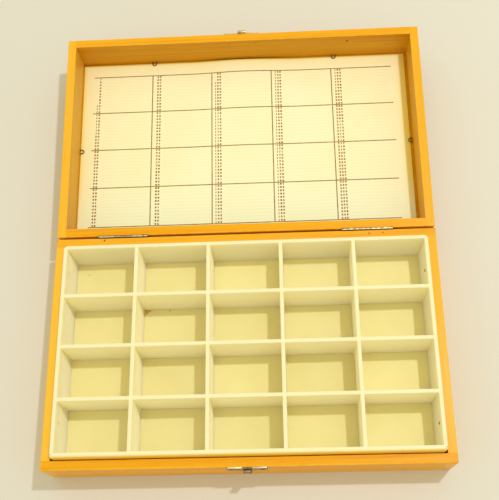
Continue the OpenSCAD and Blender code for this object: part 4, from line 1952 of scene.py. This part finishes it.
@dataclass
class Fittings:
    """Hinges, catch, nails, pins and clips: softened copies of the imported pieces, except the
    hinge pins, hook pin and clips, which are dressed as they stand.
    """

    groups: Groups
    lid: Lid
    plate_round: float = 0.16
    head_round: float = 0.28
    steps: int = 2
    # A low tone along a fitting's top edge paints a highlight, and the higher tones of the flanks,
    # plates and hook below it paint shade.
    top_edge: float = 0.12
    flank_tone: float = 0.95
    leaf_tone: float = 0.3
    plate_tone: float = 0.6
    lip_tone: float = 0.2
    hook_tone: float = 0.9
    weld: float = 0.001
    knuckle_h: float = 2.0
    # Tones along each hinge's top, left to right, where a low tone is a painted highlight; the
    # left hinge's higher tones paint it in shade.
    left_tones: tuple[float, ...] = (0.4, 0.7, 0.3)
    right_tones: tuple[float, ...] = (0.25, 0.3, 0.2)
    nickel: MetalFinish = MetalFinish(
        name="aged_nickel",
        clean=screen_colour(236, 224, 176),
        tarnish=screen_colour(150, 118, 66),
        edge=screen_colour(250, 242, 204),
        tarnish_share=0.4,
        roughness=0.32,
        dark=screen_colour(128, 88, 40),
    )
    nail: MetalFinish = MetalFinish(
        name="dull_nail_steel",
        clean=screen_colour(138, 122, 92),
        tarnish=screen_colour(76, 58, 36),
        edge=screen_colour(170, 156, 124),
        tarnish_share=0.5,
        roughness=0.4,
    )
    pin: MetalFinish = MetalFinish(
        name="tan_tray_pin",
        clean=screen_colour(242, 226, 164),
        tarnish=screen_colour(226, 208, 144),
        edge=screen_colour(248, 238, 190),
        tarnish_share=0.4,
        roughness=0.45,
        dark=screen_colour(40, 26, 4),
    )
    wire: MetalFinish = MetalFinish(
        name="brown_clip_wire",
        clean=screen_colour(146, 108, 58),
        tarnish=screen_colour(84, 56, 26),
        edge=screen_colour(190, 158, 104),
        tarnish_share=0.4,
        roughness=0.34,
    )

    def build(self) -> None:
        """Softens the plates, leaves, hook and nails, and dresses the rest as it stands."""
        nickel = Dressing(self.nickel.material(self.groups), "nickel_plate", self.plate_round)
        nail = Dressing(self.nail.material(self.groups), "nail_steel", self.head_round)
        wire = self.wire.material(self.groups)
        for side, tones in (("left", self.left_tones), ("right", self.right_tones)):
            for body in ("base", "lid"):
                leaf = f"hinge_{side}_{body}_leaf"
                self._soften(leaf, body, nickel, self._along(leaf, body, tones))
            self._dress(f"hinge_{side}_pin", nickel.material)
        plate, hook = "catch_base_plate", "catch_hook"
        # The base plate and the hook get a painted highlight along their tops and a painted shade
        # below.
        self._soften(plate, "base", nickel, self._bright_top(plate, self.plate_tone))
        self._soften("catch_lid_plate", "lid", nickel, lambda place: self.lip_tone)
        self._soften(hook, "hook", nickel, self._bright_top(hook, self.hook_tone))
        self._dress("catch_hook_pin", nail.material)
        for part in ("catch", "hinge"):
            for body in ("base", "lid"):
                self._soften(f"{part}_{body}_nails", body, nail)
        pin = Dressing(self.pin.material(self.groups), "nail_steel", self.head_round)
        self._soften("tray_pins", "base", pin, lambda place: float(place.x > 0))
        self._dress("card_clips", wire)

    def _along(self, node: str, body: str, tones: Sequence[float]) -> Tones:
        """Paints light on a leaf: a painted highlight in the given tones along the top of its
        knuckles, and a painted shade on their flanks.

        Args:
            node: The leaf.
            body: Its body.
            tones: The tones, from left to right.

        Returns:
            A tone for the middle of a face.
        """
        low, high = self.lid.shut_box(node) if body == "lid" else base_box(node)
        top = low.z if body == "lid" else high.z

        def tone(place: Vector) -> float:
            """Gives a tone by how far a face lies below the top, and where along it.

            Args:
                place: Middle of a face, in metres.

            Returns:
                The tone.
            """
            drop = abs(place.z / MM - top)
            if drop > self.top_edge:
                return self.flank_tone if drop < self.knuckle_h else self.leaf_tone
            share = (place.x / MM - low.x) / (high.x - low.x)
            return tones[min(int(share * len(tones)), len(tones) - 1)]

        return tone

    def _bright_top(self, node: str, dull: float) -> Tones:
        """Gives a piece a painted highlight along its top edge and one painted shade tone below
        it.
        """
        _, high = base_box(node)
        return lambda place: 0.0 if place.z / MM > high.z - self.top_edge else dull

    def _soften(
        self, node: str, body: str, dressing: Dressing, tones: Tones | None = None
    ) -> None:
        """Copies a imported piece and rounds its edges.

        Args:
            node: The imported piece.
            body: The body that it rides on.
            dressing: Its finish, slot and rounding.
            tones: Gives a tone for the middle of a face.
        """
        turn = self.lid.opened if body == "lid" else Matrix.Identity(4)
        bm = bmesh.new()
        bm.from_mesh(frame["nodes"][node].data)
        bm.transform(Matrix.Scale(1 / MM, 4) @ turn.inverted())
        bmesh.ops.remove_doubles(bm, verts=bm.verts, dist=self.weld)
        bmesh.ops.dissolve_limit(bm, angle_limit=FLAT, verts=bm.verts, edges=bm.edges)
        bmesh.ops.recalc_face_normals(bm, faces=bm.faces)
        sharp = [
            edge
            for edge in bm.edges
            if edge.is_manifold and edge.is_convex and edge.calc_face_angle(0.0) > SHARP
        ]
        bevel(bm, sharp, dressing.width, self.steps, "EDGES")
        tag = Tag(f"{node}_metal", body, dressing.slot, (node,))
        place_piece(bm, tag, dressing.material, turn, tones=tones)

    def _dress(self, node: str, material: bpy.types.Material) -> None:
        """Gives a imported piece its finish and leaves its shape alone.

        Args:
            node: The piece.
            material: Its finish.
        """
        piece = frame["nodes"][node]
        for place in piece.material_slots:
            place.material = material
        log.info("%s: dressed as packed", node)


def board_frames(groups: Groups, lid: Lid) -> tuple[BoardFrame, BoardFrame]:
    """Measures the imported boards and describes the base's and the lid's frames.

    Args:
        groups: The shared node groups.
        lid: The lid's turn.

    Returns:
        The base's frame and the lid's.
    """
    front_low, front_high = base_box("base_front_board")
    _, back_high = base_box("base_back_board")
    panel_low, panel_high = base_box("base_bottom_panel")
    left_low, left_high = base_box("hinge_left_base_leaf")
    nail_low, _ = base_box("hinge_base_nails")
    lid_low, lid_high = lid.shut_box("lid_left_board")
    nail_length = 5.0
    shared = {
        "groups": groups,
        "width": front_high.x - front_low.x,
        "depth": back_high.y - front_low.y,
        "board_t": front_high.y - front_low.y,
        "panel_t": panel_high.z - panel_low.z,
        "leaf_w": left_high.x - left_low.x,
        "leaf_h": 10.0,
        "leaf_t": back_high.y - (nail_low.y + nail_length),
        "hinge_x": -(left_low.x + left_high.x) / 2,
    }
    nick = screen_colour(190, 116, 34)
    base = BoardFrame(
        body="base",
        low=front_low.z,
        high=front_high.z,
        rim_up=True,
        fingers=6,
        rim_run=Run.FRONT_AND_BACK,
        turn=Matrix.Identity(4),
        spots={
            "base_back_board": (
                Spot(-111.5, 88.2, front_high.z, 0.9),
                Spot(98.2, 87.3, front_high.z, 1.0, nick),
                Spot(109.0, 87.6, front_high.z, 1.0, nick),
            )
        },
        bleach={"base_left_board": 0.6, "base_right_board": 0.3, "base_back_board": 0.15},
        **shared,
    )
    top = BoardFrame(
        body="lid",
        low=lid_low.z,
        high=lid_high.z,
        rim_up=False,
        fingers=5,
        rim_run=Run.SIDES,
        turn=lid.opened,
        spots={
            "lid_front_board": (Spot(90.3, -83.25, lid_low.z + 7.5, 1.3),),
            "lid_left_board": (Spot(-143.0, 78.0, lid_low.z + 9.4, 0.8),),
        },
        bleach={"lid_left_board": 0.4, "lid_right_board": 0.2, "lid_front_board": 0.05},
        **shared,
    )
    return base, top


def write_sizes() -> None:
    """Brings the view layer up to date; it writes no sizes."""
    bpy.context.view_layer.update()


def main() -> None:
    """Builds the studio and every sub-assembly in order."""
    logging.basicConfig(level=logging.INFO, format="%(message)s")
    Studio().build()
    groups = Groups()
    lid = Lid()
    for boards in board_frames(groups, lid):
        boards.build()
    Tray(groups).build()
    IndexCard(groups, lid).build()
    Fittings(groups, lid).build()
    write_sizes()


if __name__ == "__main__":
    main()
